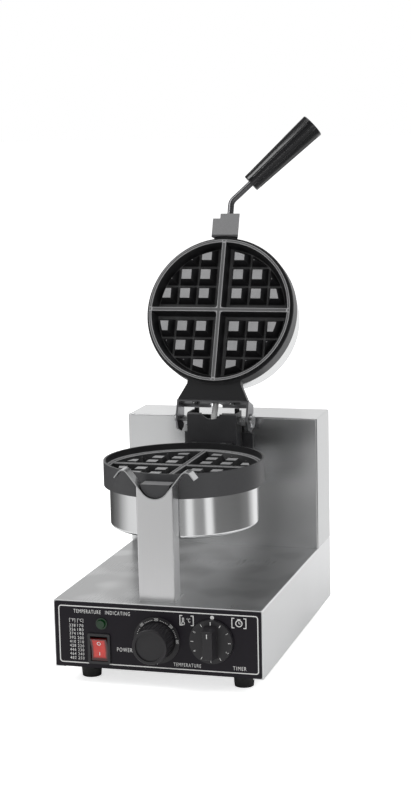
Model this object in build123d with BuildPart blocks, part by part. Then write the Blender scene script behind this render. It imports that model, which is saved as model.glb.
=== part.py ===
from build123d import *
import math
import os

os.makedirs("parts", exist_ok=True)

# Rotating waffle maker, lid open. Millimetres, +Z up, +Y to the back, +X to the right.
# The origin is the centre of the base's footprint, on the surface that the feet stand on.

# Base box and rear column
base_width = 250.0
base_height = 80.5
column_depth = 71.0
column_over_axis = 29.85
column_gap = 6.5
sheet = 1.2
bend_radius = 2.0
fold_width = 12.0
foot_height = 19.0
foot_top_radius = 13.0
foot_bottom_radius = 11.2
foot_inset_x = 32.0
foot_inset_y = 35.0
seat_gap = 0.3

# Iron: two round grid pans that close face to face
axis_x = -3.1
pan_centre_from_front = 132.5
flip_axis_height = 238.05
plate_gap = 4.0
skirt_radius = 96.5
skirt_wall = 2.6
skirt_rise = 8.5
pan_depth = 20.8
lid_ring_radius = 92.7
lid_step = 6.2
mould_radius = 89.7
mould_depth = 15.5
mould_draft = 21.0
rib_width = 4.6
rib_draft = 14.0
peg_first = 21.6
peg_pitch = 25.2
peg_top = 12.6
peg_height = 14.6
peg_draft = 20.0
peg_limit = 78.0
drum_radius = 89.6
drum_height = 49.0
drum_wall = 0.8
drum_corner = 4.0

# Lugs, hinge and handle
journal_radius = 17.6
lower_lug_reach = 116.0
lid_lug_reach = 127.5
lug_step_length = 6.5
lug_step_side = 7.9
opening_angle = 111.9
hinge_back = 138.8
hinge_rise = 29.6
cheek_outer = 47.0
bracket_sheet = 2.5
web_back = 116.1
web_low = 8.3
web_tall = 25.0
web_flange = 4.8
stop_tab = 6.0
back_plate_drop = 6.0
box_edge_cut = 1.8
cheek_round = 13.5
cheek_chamfer = 8.5
box_half = 32.0
box_front_back = 123.5
box_long = 27.5
box_rise = 41.3
notch_radius = 16.0
notch_depth = 8.0
hinge_pin_radius = 3.0
hinge_head_radius = 9.5
hinge_head_thick = 4.0
nut_across = 10.0
nut_thick = 5.0
washer_thick = 3.5
running_fit = 0.05
shaft_radius = 12.0
shaft_bore = 9.0
rod_radius = 4.0
rod_x = 3.0
rod_bend_reach = 146.0
rod_slant = 34.0
handle_angle = 44.3
grip_length = 109.6
grip_small_radius = 12.0
grip_large_radius = 16.2
grip_flutes = 16
flute_radius = 1.3
sleeve_radius = 3.9
sleeve_side = -4.6
lead_hole_room = 1.8
web_lead_side = -0.4
stud_radius = 3.0
heater_radius = 60.0
heater_tube = 4.2
clamp_radius = 72.0
clamp_thick = 3.0
insulation_radius = 82.0
insulation_thick = 12.0
nut_stud_across = 10.0

# Front bracket and saddle
bracket_setback = 13.1
bracket_width = 43.6
bracket_deep = 21.6
bracket_foot = 16.0
saddle_sheet = 1.2
saddle_deep = 16.0
saddle_clearance = 0.4
saddle_wall_angle = 52.0
saddle_peak_half = 37.7
saddle_peak_radius = 7.0
saddle_end_drop = 6.5

# Control panel
panel_thick = 1.5
panel_margin = 1.6
lamp_x = -66.0
lamp_z = 74.2
lamp_radius = 6.8
rocker_x = -69.6
rocker_z = 44.0
rocker_width = 20.0
rocker_height = 27.0
bezel_width = 27.0
bezel_height = 36.0
bezel_proud = 2.2
rocker_tilt = 9.0
dial_x = 0.3
dial_z = 58.4
dial_outer = 27.5
dial_thick = 1.2
knob_radius = 21.3
knob_proud = 29.0
timer_x = 65.5
timer_z = 61.2
timer_skirt_radius = 26.0
timer_skirt_thick = 4.0
timer_bar_width = 15.0
timer_bar_share = 0.70
timer_bar_proud = 20.0
spindle_radius = 3.0
knob_gap = 0.4

# Derived planes and heights. The base is as deep as the iron, the gap behind it and the column.
box_back = box_front_back + box_long
base_depth = pan_centre_from_front + box_back + column_gap + column_depth
front_y = -base_depth / 2
back_y = base_depth / 2
base_top = foot_height + base_height
column_front = back_y - column_depth
column_top = flip_axis_height + column_over_axis
column_height = column_top - base_top
pan_y = front_y + pan_centre_from_front
bracket_y = front_y + bracket_setback
lower_ring_z = flip_axis_height - plate_gap / 2
hinge_y = pan_y + hinge_back
hinge_z = lower_ring_z + hinge_rise
lid_hinge_depth = hinge_rise - plate_gap
recess_radius = skirt_radius - skirt_wall
lean = math.radians(opening_angle)

panel_plane = Plane(origin=(0, front_y, 0), x_dir=(1, 0, 0), z_dir=(0, -1, 0))
lower_plane = Plane(origin=(axis_x, pan_y, lower_ring_z), x_dir=(-1, 0, 0), z_dir=(0, 0, 1))


def opened(back, up):
    """Where a point of the closed lid, given from the hinge, stands with the lid open."""
    y = hinge_y + back * math.cos(lean) + up * math.sin(lean)
    z = hinge_z - back * math.sin(lean) + up * math.cos(lean)
    return y, z


lid_y, lid_z = opened(-hinge_back, -lid_hinge_depth)
lid_plane = Plane(
    origin=(axis_x, lid_y, lid_z),
    x_dir=(1, 0, 0),
    z_dir=(0, -math.sin(lean), -math.cos(lean)),
)


def across(plane, reach):
    """A plane square to the pan's lug direction; its local y runs away from the mould face."""
    return Plane(
        origin=plane.from_local_coords((0, reach, 0)), x_dir=plane.x_dir, z_dir=plane.y_dir
    )


def beside(plane, side):
    """A plane square to the hinge axis; local x runs to the front lug, local y to the mould face."""
    return Plane(
        origin=plane.from_local_coords((side, 0, 0)), x_dir=plane.y_dir, z_dir=plane.x_dir
    )


def save(builder, name):
    """Label a finished piece and write its file."""
    builder.part.label = name
    export_step(builder.part, f"parts/{name}.step")


# Screw sizes
small_screw_radius = 2.0
small_head_radius = 4.0
small_head_thick = 2.4
bracket_bolt_radius = 2.5
bracket_head_radius = 4.2
bracket_bolts = [
    (axis_x + side * bracket_width / 4, bracket_y + bracket_deep + bracket_foot / 2) for side in (-1, 1)
]

# Ears folded in from the shell sides, for the back cover's screws
ear_width = 10.0
ear_height = 16.0
ear_plane = Plane.XZ.offset(-back_y + sheet)
base_ears = [(side, foot_height + base_height * 0.5) for side in (-1, 1)]
column_ears = [(side, base_top + column_height * k) for side in (-1, 1) for k in (0.12, 0.88)]


def ear_centres(ears):
    """Sketch places of ears folded in from the inner faces of the two sides."""
    return [(side * (base_width / 2 - sheet - ear_width / 2), z) for side, z in ears]


# Base shell: folded sheet, open at the bottom, front and back
with BuildPart() as base_shell:
    with BuildSketch(Plane.XZ.offset(back_y)):
        with Locations((0, foot_height + base_height / 2)):
            Rectangle(base_width, base_height)
        with Locations((0, foot_height + (base_height - sheet) / 2)):
            Rectangle(base_width - 2 * sheet, base_height - sheet, mode=Mode.SUBTRACT)
    extrude(amount=-base_depth)
    top_edges = base_shell.edges().filter_by(Axis.Y).group_by(Axis.Z)[-1]
    fillet(top_edges, bend_radius)
    inner_edges = base_shell.edges().filter_by(Axis.Y).filter_by(
        lambda e: abs(e.center().Z - (base_top - sheet)) < 0.01
    )
    fillet(inner_edges, bend_radius - sheet)
    # Returns folded in along the bottom of both sides
    with BuildSketch(Plane.XY.offset(foot_height)):
        for side in (-1, 1):
            with Locations((side * (base_width - fold_width) / 2, 0)):
                Rectangle(fold_width, base_depth)
    extrude(amount=sheet)
    # Way for the leads between the column and the base
    with BuildSketch(Plane.XY.offset(base_top)):
        with Locations((0, (column_front + back_y) / 2)):
            Rectangle(base_width * 0.4, column_depth * 0.5)
    extrude(amount=-2 * sheet, mode=Mode.SUBTRACT)
    # Room for the back cover's upper part, which passes the top sheet
    with BuildSketch(Plane.XY.offset(base_top)):
        with Locations((0, back_y - (sheet + seat_gap) / 2)):
            Rectangle(base_width - 2 * sheet, sheet + seat_gap)
    extrude(amount=-2 * sheet, mode=Mode.SUBTRACT)
    with BuildSketch(Plane.XY.offset(base_top)):
        with Locations(*bracket_bolts):
            Circle(bracket_bolt_radius + running_fit)
    extrude(amount=-2 * sheet, mode=Mode.SUBTRACT)
    with BuildSketch(ear_plane):
        with Locations(*ear_centres(base_ears)):
            Rectangle(ear_width, ear_height)
            Circle(small_screw_radius + running_fit, mode=Mode.SUBTRACT)
    extrude(amount=sheet)
save(base_shell, "base_shell")

# Bottom plate with its foot holes and vents
foot_places = [
    (sx * (base_width / 2 - foot_inset_x), sy * (base_depth / 2 - foot_inset_y))
    for sx in (-1, 1)
    for sy in (-1, 1)
]
foot_screw_radius = 2.0
bottom_z = foot_height + sheet + seat_gap
with BuildPart() as bottom_plate:
    with BuildSketch(Plane.XY.offset(bottom_z)):
        Rectangle(base_width - 2 * (sheet + seat_gap), base_depth - 2 * (sheet + seat_gap))
        with Locations(*foot_places):
            Circle(foot_screw_radius, mode=Mode.SUBTRACT)
        with GridLocations(0, 12, 1, 8):
            SlotOverall(base_width * 0.36, 4, mode=Mode.SUBTRACT)
    extrude(amount=sheet)
save(bottom_plate, "bottom_plate")

# Rubber feet, tapered, each with a sunk screw
foot_sink = 5.0
foot_head_radius = 4.2
with BuildPart() as feet:
    for place in foot_places:
        with BuildSketch(Plane.XY):
            with Locations(place):
                Circle(foot_bottom_radius)
        with BuildSketch(Plane.XY.offset(bottom_z)):
            with Locations(place):
                Circle(foot_top_radius)
        loft()
    with BuildSketch(Plane.XY):
        with Locations(*foot_places):
            Circle(foot_head_radius + seat_gap)
    extrude(amount=foot_sink, mode=Mode.SUBTRACT)
    with BuildSketch(Plane.XY):
        with Locations(*foot_places):
            Circle(foot_screw_radius)
    extrude(amount=bottom_z, mode=Mode.SUBTRACT)
save(feet, "feet")

with BuildPart() as foot_screws:
    with BuildSketch(Plane.XY.offset(foot_sink)):
        with Locations(*foot_places):
            Circle(foot_head_radius)
    extrude(amount=-2.5)
    with BuildSketch(Plane.XY.offset(foot_sink)):
        with Locations(*foot_places):
            Circle(foot_screw_radius - running_fit)
    extrude(amount=bottom_z + sheet + 5 - foot_sink)
save(foot_screws, "foot_screws")

# Column: folded sheet shell, open at the back and the bottom
bearing_hole_radius = 18.0
housing_radius = 29.0
housing_flange = 3.0
housing_inside = 16.0
housing_screw_circle = 24.0
with BuildPart() as column_shell:
    with BuildSketch(Plane.XY.offset(base_top)):
        with Locations((0, column_front + column_depth / 2)):
            Rectangle(base_width, column_depth)
    extrude(amount=column_height)
    upright = column_shell.edges().filter_by(Axis.Z).group_by(Axis.Y)[0]
    fillet(upright, bend_radius)
    top_rim = column_shell.edges().group_by(Axis.Z)[-1].filter_by(
        lambda e: e.center().Y < back_y - 0.01
    )
    fillet(top_rim, bend_radius)
    openings = [
        column_shell.faces().sort_by(Axis.Y)[-1],
        column_shell.faces().sort_by(Axis.Z)[0],
    ]
    offset(amount=-sheet, openings=openings)
    with BuildSketch(Plane.XZ.offset(-column_front - 2 * sheet)):
        with Locations((axis_x, flip_axis_height)):
            Circle(bearing_hole_radius + seat_gap)
            with PolarLocations(housing_screw_circle, 4, start_angle=45):
                Circle(small_screw_radius + running_fit)
    extrude(amount=4 * sheet, mode=Mode.SUBTRACT)
    with BuildSketch(ear_plane):
        with Locations(*ear_centres(column_ears)):
            Rectangle(ear_width, ear_height)
            Circle(small_screw_radius + running_fit, mode=Mode.SUBTRACT)
    extrude(amount=sheet)
save(column_shell, "column_shell")

# One cover closes the back of the column and of the base
gland_x = base_width * 0.3
gland_z = foot_height + base_height * 0.45
gland_hole_radius = 9.0
cover_low = bottom_z + sheet + seat_gap
cover_high = column_top - sheet - seat_gap
cover_half = base_width / 2 - sheet - seat_gap
with BuildPart() as back_cover:
    with BuildSketch(Plane.XZ.offset(-back_y)):
        with Locations((0, (cover_low + cover_high) / 2)):
            Rectangle(2 * cover_half, cover_high - cover_low)
        with Locations((gland_x, gland_z)):
            Circle(gland_hole_radius, mode=Mode.SUBTRACT)
        with Locations((0, base_top + column_height * 0.62)):
            with GridLocations(0, 9, 1, 7):
                SlotOverall(base_width * 0.4, 3.5, mode=Mode.SUBTRACT)
        with Locations(*ear_centres(base_ears + column_ears)):
            Circle(small_screw_radius + running_fit, mode=Mode.SUBTRACT)
    extrude(amount=sheet)
save(back_cover, "back_cover")

with BuildPart() as cover_screws:
    with BuildSketch(Plane.XZ.offset(-back_y)):
        with Locations(*ear_centres(base_ears + column_ears)):
            Circle(small_head_radius)
    extrude(amount=-small_head_thick)
    fillet(cover_screws.faces().group_by(Axis.Y)[-1].edges(), 0.8)
    with BuildSketch(Plane.XZ.offset(-back_y)):
        with Locations(*ear_centres(base_ears + column_ears)):
            Circle(small_screw_radius)
    extrude(amount=2 * sheet + 5)
save(cover_screws, "cover_screws")

# Cable gland in the back cover: a flanged bush with a ring nut inside, the cord left out
gland_bore = 3.8
gland_flange_radius = 13.0
gland_body_radius = gland_hole_radius - seat_gap
with BuildPart() as cable_gland:
    with BuildSketch(Plane.XZ.offset(-back_y)):
        with Locations((gland_x, gland_z)):
            RegularPolygon(gland_flange_radius, 6)
    extrude(amount=-6)
    with BuildSketch(Plane.XZ.offset(-back_y - 6)):
        with Locations((gland_x, gland_z)):
            Circle(gland_body_radius)
    extrude(amount=-9, taper=12)
    with BuildSketch(Plane.XZ.offset(-back_y)):
        with Locations((gland_x, gland_z)):
            Circle(gland_body_radius)
    extrude(amount=14)
    with BuildSketch(Plane.XZ.offset(-back_y - 15)):
        with Locations((gland_x, gland_z)):
            Circle(gland_bore)
    extrude(amount=29, mode=Mode.SUBTRACT)
save(cable_gland, "cable_gland")

with BuildPart() as gland_nut:
    with BuildSketch(Plane.XZ.offset(-back_y + sheet)):
        with Locations((gland_x, gland_z)):
            RegularPolygon(gland_flange_radius, 6)
            Circle(gland_body_radius + running_fit, mode=Mode.SUBTRACT)
    extrude(amount=5)
save(gland_nut, "gland_nut")

# Terminal block and earth stud on the bottom plate
terminal_from_gland = 35.0
terminal_width = 18.0
terminal_long = 42.0
terminal_foot = 6.0
terminal_tall = 16.0
terminal_pitch = 10.0
plate_top = bottom_z + sheet
terminal_x = gland_x - terminal_from_gland
terminal_y = column_front + column_depth * 0.35
with BuildPart() as terminal_block:
    with BuildSketch(Plane.XY.offset(plate_top)):
        with Locations((terminal_x, terminal_y)):
            Rectangle(terminal_width, terminal_long)
    extrude(amount=terminal_foot)
    with BuildSketch(Plane.XY.offset(plate_top + terminal_foot)):
        with Locations((terminal_x, terminal_y)):
            with GridLocations(0, terminal_pitch, 1, 4):
                Rectangle(terminal_width, terminal_pitch - 1.5)
    extrude(amount=terminal_tall - terminal_foot)
    with BuildSketch(Plane.XY.offset(plate_top + terminal_tall)):
        with Locations((terminal_x, terminal_y)):
            with GridLocations(terminal_width / 2, terminal_pitch, 2, 4):
                Circle(2.2)
    extrude(amount=-6, mode=Mode.SUBTRACT)
save(terminal_block, "terminal_block")

with BuildPart() as earth_stud:
    with BuildSketch(Plane.XY.offset(plate_top)):
        with Locations((gland_x, terminal_y)):
            Circle(2.5)
    extrude(amount=18)
    for height in (0, 6):
        with BuildSketch(Plane.XY.offset(plate_top + height)):
            with Locations((gland_x, terminal_y)):
                RegularPolygon(4.6, 6)
        extrude(amount=4)
save(earth_stud, "earth_stud")

# Control panel: a flat plate between the folded sides of the base
panel_low = foot_height + panel_margin
panel_high = base_top - panel_margin
bezel_hole = (bezel_width - 3, bezel_height - 3)
switch_bush_radius = 5.0
lamp_body_radius = 5.0
flange_back = sheet + seat_gap
with BuildPart() as front_panel:
    with BuildSketch(panel_plane):
        with Locations((0, (panel_low + panel_high) / 2)):
            RectangleRounded(base_width - 2 * panel_margin, panel_high - panel_low, 1.5)
        with Locations((lamp_x, lamp_z)):
            Circle(lamp_body_radius + seat_gap, mode=Mode.SUBTRACT)
        with Locations((rocker_x, rocker_z)):
            Rectangle(*bezel_hole, mode=Mode.SUBTRACT)
        with Locations((dial_x, dial_z), (timer_x, timer_z)):
            Circle(switch_bush_radius + seat_gap, mode=Mode.SUBTRACT)
    extrude(amount=panel_thick)
save(front_panel, "front_panel")
panel_face = panel_plane.offset(panel_thick)

# Stainless carrier behind the panel, folded into the base front
with BuildPart() as panel_carrier:
    with BuildSketch(panel_plane):
        with Locations((0, (foot_height + base_top) / 2)):
            Rectangle(base_width - 2 * flange_back, base_height - 2 * flange_back)
        with Locations((lamp_x, lamp_z)):
            Circle(lamp_body_radius + seat_gap, mode=Mode.SUBTRACT)
        with Locations((rocker_x, rocker_z)):
            Rectangle(*bezel_hole, mode=Mode.SUBTRACT)
        with Locations((dial_x, dial_z), (timer_x, timer_z)):
            Circle(switch_bush_radius + seat_gap, mode=Mode.SUBTRACT)
    extrude(amount=-sheet)
save(panel_carrier, "panel_carrier")
carrier_back = panel_plane.offset(-sheet)

# Indicator lamp: green lens over a body that passes through the panel
lens_flange = 1.4
with BuildPart() as indicator_lens:
    with BuildSketch(panel_face):
        with Locations((lamp_x, lamp_z)):
            Circle(lamp_radius)
    extrude(amount=lens_flange)
    with BuildSketch(panel_face.offset(lens_flange)):
        with Locations((lamp_x, lamp_z)):
            Circle(lamp_radius - 1.4)
    extrude(amount=3.2, taper=16)
save(indicator_lens, "indicator_lens")

with BuildPart() as indicator_body:
    with BuildSketch(panel_face):
        with Locations((lamp_x, lamp_z)):
            Circle(lamp_body_radius)
    extrude(amount=-26)
    with BuildSketch(carrier_back):
        with Locations((lamp_x, lamp_z)):
            RegularPolygon(lamp_radius + 1, 6)
    extrude(amount=-4)
save(indicator_body, "indicator_body")

# Power switch: snap-in frame, and a rocker on trunnions
rocker_gap = 0.5
rocker_swing_gap = 1.4
trunnion_radius = 2.0
trunnion_sink = 4.0
rocker_back = 8.0
rocker_nose = 2.6
rocker_well = 13.0
trunnion_span = bezel_hole[0] - 2 * seat_gap - 1.0
switch_depth = 30.0
rocker_opening = (rocker_width + 2 * rocker_gap, rocker_height + 2 * rocker_swing_gap)
with BuildPart() as switch_frame:
    with BuildSketch(panel_face):
        with Locations((rocker_x, rocker_z)):
            RectangleRounded(bezel_width, bezel_height, 2)
            Rectangle(*rocker_opening, mode=Mode.SUBTRACT)
    extrude(amount=bezel_proud)
    with BuildSketch(panel_face):
        with Locations((rocker_x, rocker_z)):
            Rectangle(bezel_hole[0] - 2 * seat_gap, bezel_hole[1] - 2 * seat_gap)
    extrude(amount=-switch_depth)
    with BuildSketch(panel_face):
        with Locations((rocker_x, rocker_z)):
            Rectangle(*rocker_opening)
    extrude(amount=-rocker_well, mode=Mode.SUBTRACT)
    with BuildSketch(Plane.YZ.offset(rocker_x - trunnion_span / 2 - running_fit)):
        with Locations((front_y - panel_thick + trunnion_sink, rocker_z)):
            Circle(trunnion_radius + running_fit)
    extrude(amount=trunnion_span + 2 * running_fit, mode=Mode.SUBTRACT)
    with BuildSketch(panel_face.offset(-switch_depth)):
        with Locations((rocker_x, rocker_z)):
            with GridLocations(10, 9, 2, 3):
                Rectangle(1, 6.3)
    extrude(amount=-8)
save(switch_frame, "switch_frame")

# The rocker stands in its off position, tilted about its trunnions
rocker_plane = Plane(
    origin=(rocker_x, front_y - panel_thick + trunnion_sink, rocker_z),
    x_dir=(0, math.cos(math.radians(rocker_tilt)), math.sin(math.radians(rocker_tilt))),
    z_dir=(1, 0, 0),
)
with BuildPart() as power_rocker:
    with BuildSketch(rocker_plane.offset(-rocker_width / 2)):
        with BuildLine():
            half = rocker_height / 2
            crown = ThreePointArc(
                (-trunnion_sink - rocker_nose, half),
                (-trunnion_sink - 0.2, 0),
                (-trunnion_sink - rocker_nose, -half),
            )
            Polyline(
                crown @ 1,
                (1 - trunnion_sink, -half),
                (rocker_back - trunnion_sink, -half * 0.35),
                (rocker_back - trunnion_sink, half * 0.35),
                (1 - trunnion_sink, half),
                crown @ 0,
            )
        make_face()
    extrude(amount=rocker_width)
    with BuildSketch(rocker_plane.offset(-trunnion_span / 2)):
        Circle(trunnion_radius)
    extrude(amount=trunnion_span)
save(power_rocker, "power_rocker")


control_tab = 8.0
thermostat_body_size = 44.0
thermostat_body_deep = 32.0
timer_body_size = 46.0
timer_body_deep = 40.0


def rotary_control(x, z, size, deep):
    """A switch body behind the panel, with its bush and ring nut through the panel."""
    with BuildPart() as control:
        with BuildSketch(carrier_back):
            with Locations((x, z)):
                RectangleRounded(size, size, 3)
        extrude(amount=-deep)
        with BuildSketch(carrier_back):
            with Locations((x, z)):
                Circle(switch_bush_radius)
        extrude(amount=sheet + panel_thick)
        with BuildSketch(panel_face):
            with Locations((x, z)):
                Circle(spindle_radius + running_fit)
        extrude(amount=-(sheet + panel_thick + 10), mode=Mode.SUBTRACT)
        with BuildSketch(carrier_back.offset(-deep)):
            with Locations((x, z)):
                with GridLocations(size * 0.5, 0, 2, 1):
                    Rectangle(6.3, 1)
        extrude(amount=-control_tab)
    return control


thermostat_body = rotary_control(dial_x, dial_z, thermostat_body_size, thermostat_body_deep)
save(thermostat_body, "thermostat_body")
timer_body = rotary_control(timer_x, timer_z, timer_body_size, timer_body_deep)
save(timer_body, "timer_body")

# Fixed dial ring round the thermostat knob
with BuildPart() as dial_ring:
    with BuildSketch(panel_face):
        with Locations((dial_x, dial_z)):
            Circle(dial_outer)
            Circle(knob_radius + 1.0, mode=Mode.SUBTRACT)
    extrude(amount=dial_thick)
save(dial_ring, "dial_ring")

# Thermostat knob: fluted rim, dished face, spindle inside
knob_flutes = 28
knob_rim = 4.5
dish_depth = 2.0
spindle_long = 10.0 + sheet + panel_thick - 0.5
with BuildPart() as thermostat_knob:
    with BuildSketch(panel_face.offset(knob_gap)):
        with Locations((dial_x, dial_z)):
            Circle(knob_radius)
    extrude(amount=knob_proud, taper=1.5)
    fillet(thermostat_knob.faces().sort_by(Axis.Y)[0].edges(), 1.6)
    with BuildSketch(panel_face.offset(knob_gap + 4)):
        with Locations((dial_x, dial_z)):
            with PolarLocations(knob_radius + 0.2, knob_flutes):
                Circle(1.1)
    extrude(amount=knob_proud, mode=Mode.SUBTRACT)
    with BuildSketch(panel_face.offset(knob_gap + knob_proud)):
        with Locations((dial_x, dial_z)):
            Circle(knob_radius - knob_rim)
    extrude(amount=-dish_depth, mode=Mode.SUBTRACT)
    with BuildSketch(panel_face.offset(knob_gap)):
        with Locations((dial_x, dial_z)):
            Circle(knob_radius - 2.5)
            Circle(7, mode=Mode.SUBTRACT)
    extrude(amount=knob_proud - dish_depth - 3, mode=Mode.SUBTRACT)
    with BuildSketch(panel_face.offset(knob_gap)):
        with Locations((dial_x, dial_z)):
            Circle(spindle_radius)
    extrude(amount=-spindle_long)
save(thermostat_knob, "thermostat_knob")

# Timer knob: round skirt with a bar grip, spindle inside
with BuildPart() as timer_knob:
    with BuildSketch(panel_face.offset(knob_gap)):
        with Locations((timer_x, timer_z)):
            Circle(timer_skirt_radius)
    extrude(amount=timer_skirt_thick, taper=8)
    with BuildSketch(panel_face.offset(knob_gap + timer_skirt_thick)):
        with Locations((timer_x, timer_z)):
            Rectangle(timer_bar_width, 2 * timer_skirt_radius * timer_bar_share)
    extrude(amount=timer_bar_proud - timer_skirt_thick, taper=6)
    bar_rim = timer_knob.faces().sort_by(Axis.Y)[0].edges()
    fillet(bar_rim, 1.5)
    with BuildSketch(panel_face.offset(knob_gap)):
        with Locations((timer_x, timer_z)):
            Circle(spindle_radius)
    extrude(amount=-spindle_long)
save(timer_knob, "timer_knob")

# Upright channel that carries the front of the iron
valley_radius = journal_radius + saddle_clearance
channel_sheet = 1.5
wall = math.radians(saddle_wall_angle)
saddle_plane = Plane(origin=(axis_x, bracket_y, flip_axis_height), x_dir=(1, 0, 0), z_dir=(0, -1, 0))
strip_outer = valley_radius + saddle_sheet
strip_turn_x = strip_outer * math.sin(wall)
strip_turn_z = -strip_outer * math.cos(wall)
above_strip_z = strip_turn_z + (saddle_peak_half - strip_turn_x) * math.tan(wall)
with BuildPart() as front_bracket:
    with BuildSketch(Plane.XY.offset(base_top)):
        with Locations((axis_x, bracket_y + bracket_deep / 2)):
            Rectangle(bracket_width, bracket_deep)
        with Locations((axis_x, bracket_y + bracket_deep / 2 + channel_sheet / 2)):
            Rectangle(
                bracket_width - 2 * channel_sheet, bracket_deep - channel_sheet, mode=Mode.SUBTRACT
            )
    extrude(amount=flip_axis_height - base_top)
    front_edges = front_bracket.edges().filter_by(Axis.Z).group_by(Axis.Y)[0]
    fillet(front_edges, channel_sheet)
    # The top edges follow the underside of the saddle strip
    with BuildSketch(saddle_plane):
        Circle(strip_outer)
        with BuildLine():
            Polyline(
                (-strip_turn_x, strip_turn_z),
                (strip_turn_x, strip_turn_z),
                (saddle_peak_half, above_strip_z),
                (-saddle_peak_half, above_strip_z),
                close=True,
            )
        make_face()
    extrude(amount=-bracket_deep, mode=Mode.SUBTRACT)
    with BuildSketch(Plane.XY.offset(base_top)):
        with Locations((axis_x, bracket_y + bracket_deep - channel_sheet / 2)):
            Rectangle(bracket_width - 0.2, channel_sheet)
        with Locations((axis_x, bracket_y + bracket_deep + bracket_foot / 2 - channel_sheet)):
            Rectangle(bracket_width - 0.2, bracket_foot)
        with Locations(*bracket_bolts):
            Circle(bracket_bolt_radius + running_fit, mode=Mode.SUBTRACT)
    extrude(amount=channel_sheet)
save(front_bracket, "front_bracket")

with BuildPart() as bracket_screws:
    with BuildSketch(Plane.XY.offset(base_top + channel_sheet)):
        with Locations(*bracket_bolts):
            Circle(bracket_head_radius)
    extrude(amount=2.6)
    fillet(bracket_screws.faces().group_by(Axis.Z)[-1].edges(), 1.0)
    with BuildSketch(Plane.XY.offset(base_top + channel_sheet)):
        with Locations(*bracket_bolts):
            Circle(bracket_bolt_radius)
    extrude(amount=-(channel_sheet + sheet + 6))
save(bracket_screws, "bracket_screws")

# Saddle: a wave of thin strip with a round valley under the lugs
tangent_x = valley_radius * math.sin(wall)
tangent_z = -valley_radius * math.cos(wall)
peak_x = saddle_peak_half
shoulder_x = peak_x - saddle_peak_radius * math.sin(wall)
shoulder_z = tangent_z + (shoulder_x - tangent_x) * math.tan(wall)
crown_z = shoulder_z - saddle_peak_radius * math.cos(wall) + saddle_peak_radius
outer_x = peak_x + saddle_peak_radius * math.sin(wall)
end_x = outer_x + saddle_end_drop / math.tan(wall)
end_z = shoulder_z - saddle_end_drop
with BuildPart() as saddle_strip:
    with BuildSketch(saddle_plane):
        with BuildLine() as wave:
            for side in (-1, 1):
                Line((side * tangent_x, tangent_z), (side * shoulder_x, shoulder_z))
                ThreePointArc(
                    (side * shoulder_x, shoulder_z),
                    (side * peak_x, crown_z),
                    (side * outer_x, shoulder_z),
                )
                Line((side * outer_x, shoulder_z), (side * end_x, end_z))
            ThreePointArc((-tangent_x, tangent_z), (0, -valley_radius), (tangent_x, tangent_z))
            offset(amount=saddle_sheet, side=Side.LEFT)
        make_face()
    extrude(amount=-saddle_deep)
save(saddle_strip, "saddle_strip")


# Grid pans. Plane: origin in the centre of the mould's ring, local z out of the mould face,
# local y to the front lug.
peg_places = [
    (sx * (peg_first + i * peg_pitch), sy * (peg_first + j * peg_pitch))
    for sx in (-1, 1)
    for sy in (-1, 1)
    for i, j in ((0, 0), (0, 1), (1, 0), (1, 1), (0, 2), (2, 0), (1, 2), (2, 1))
]
rib_half = rib_width / 2 + mould_depth * math.tan(math.radians(rib_draft))
peg_slope = peg_height * math.tan(math.radians(peg_draft))


def mould_relief(plane):
    """The cross rib and the pegs on the mould's floor; the outer pegs are cut by a cone."""
    floor = plane.offset(-mould_depth - 0.5)
    with BuildPart() as relief:
        with BuildSketch(plane.offset(-mould_depth)):
            with Locations(*peg_places):
                Rectangle(peg_top + 2 * peg_slope, peg_top + 2 * peg_slope)
        extrude(amount=peg_height, taper=peg_draft)
        with BuildSketch(plane.offset(-mould_depth)):
            Circle(peg_limit + peg_slope)
        extrude(amount=peg_height, taper=peg_draft, mode=Mode.INTERSECT)
        with BuildSketch(plane.offset(-mould_depth)):
            Rectangle(2 * mould_radius + 8, 2 * rib_half)
            Rectangle(2 * rib_half, 2 * mould_radius + 8)
        extrude(amount=mould_depth, taper=rib_draft)
        with BuildSketch(floor):
            Circle(recess_radius - 1)
        extrude(amount=mould_depth + 1, mode=Mode.INTERSECT)
    return relief


def lug_profile(plane, start):
    """The front lug's section: a round journal about the flip axis, cut flat at the ring."""
    with BuildSketch(across(plane, start)) as profile:
        with Locations((0, -plate_gap / 2)):
            Circle(journal_radius)
        with Locations((0, -journal_radius)):
            Rectangle(4 * journal_radius, 2 * journal_radius, mode=Mode.SUBTRACT)
    return profile.sketch


web_screw_x = 24.0
tab_screw_x = 18.7
tab_screw_reach = 107.0

# Lower pan: the skirt rises above the ring, the rear lug carries the hinge box
rear_lug_half = 29.0
rear_lug_rise = 1.5
lower_front_lug = lug_profile(lower_plane, mould_radius - 2)
lower_relief = mould_relief(lower_plane)
with BuildPart() as lower_grid_pan:
    with BuildSketch(lower_plane.offset(skirt_rise)):
        Circle(skirt_radius)
    extrude(amount=-(skirt_rise + pan_depth))
    add(lower_front_lug)
    extrude(amount=lower_lug_reach - mould_radius + 2, dir=lower_plane.y_dir)
    with BuildSketch(lower_plane.offset(rear_lug_rise)):
        with Locations((0, -(mould_radius + box_front_back) / 2)):
            Rectangle(2 * rear_lug_half, box_front_back - mould_radius)
    extrude(amount=-(rear_lug_rise + pan_depth))
    with BuildSketch(lower_plane.offset(skirt_rise)):
        Circle(recess_radius)
    extrude(amount=-skirt_rise, mode=Mode.SUBTRACT)
    with BuildSketch(lower_plane):
        Circle(mould_radius)
    extrude(amount=-mould_depth, taper=mould_draft, mode=Mode.SUBTRACT)
    add(lower_relief.part)
    with BuildSketch(lower_plane.offset(rear_lug_rise)):
        with Locations((0, -tab_screw_reach)):
            with GridLocations(2 * tab_screw_x, 0, 2, 1):
                Circle(small_screw_radius + running_fit)
    extrude(amount=-9, mode=Mode.SUBTRACT)
save(lower_grid_pan, "lower_grid_pan")

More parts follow.
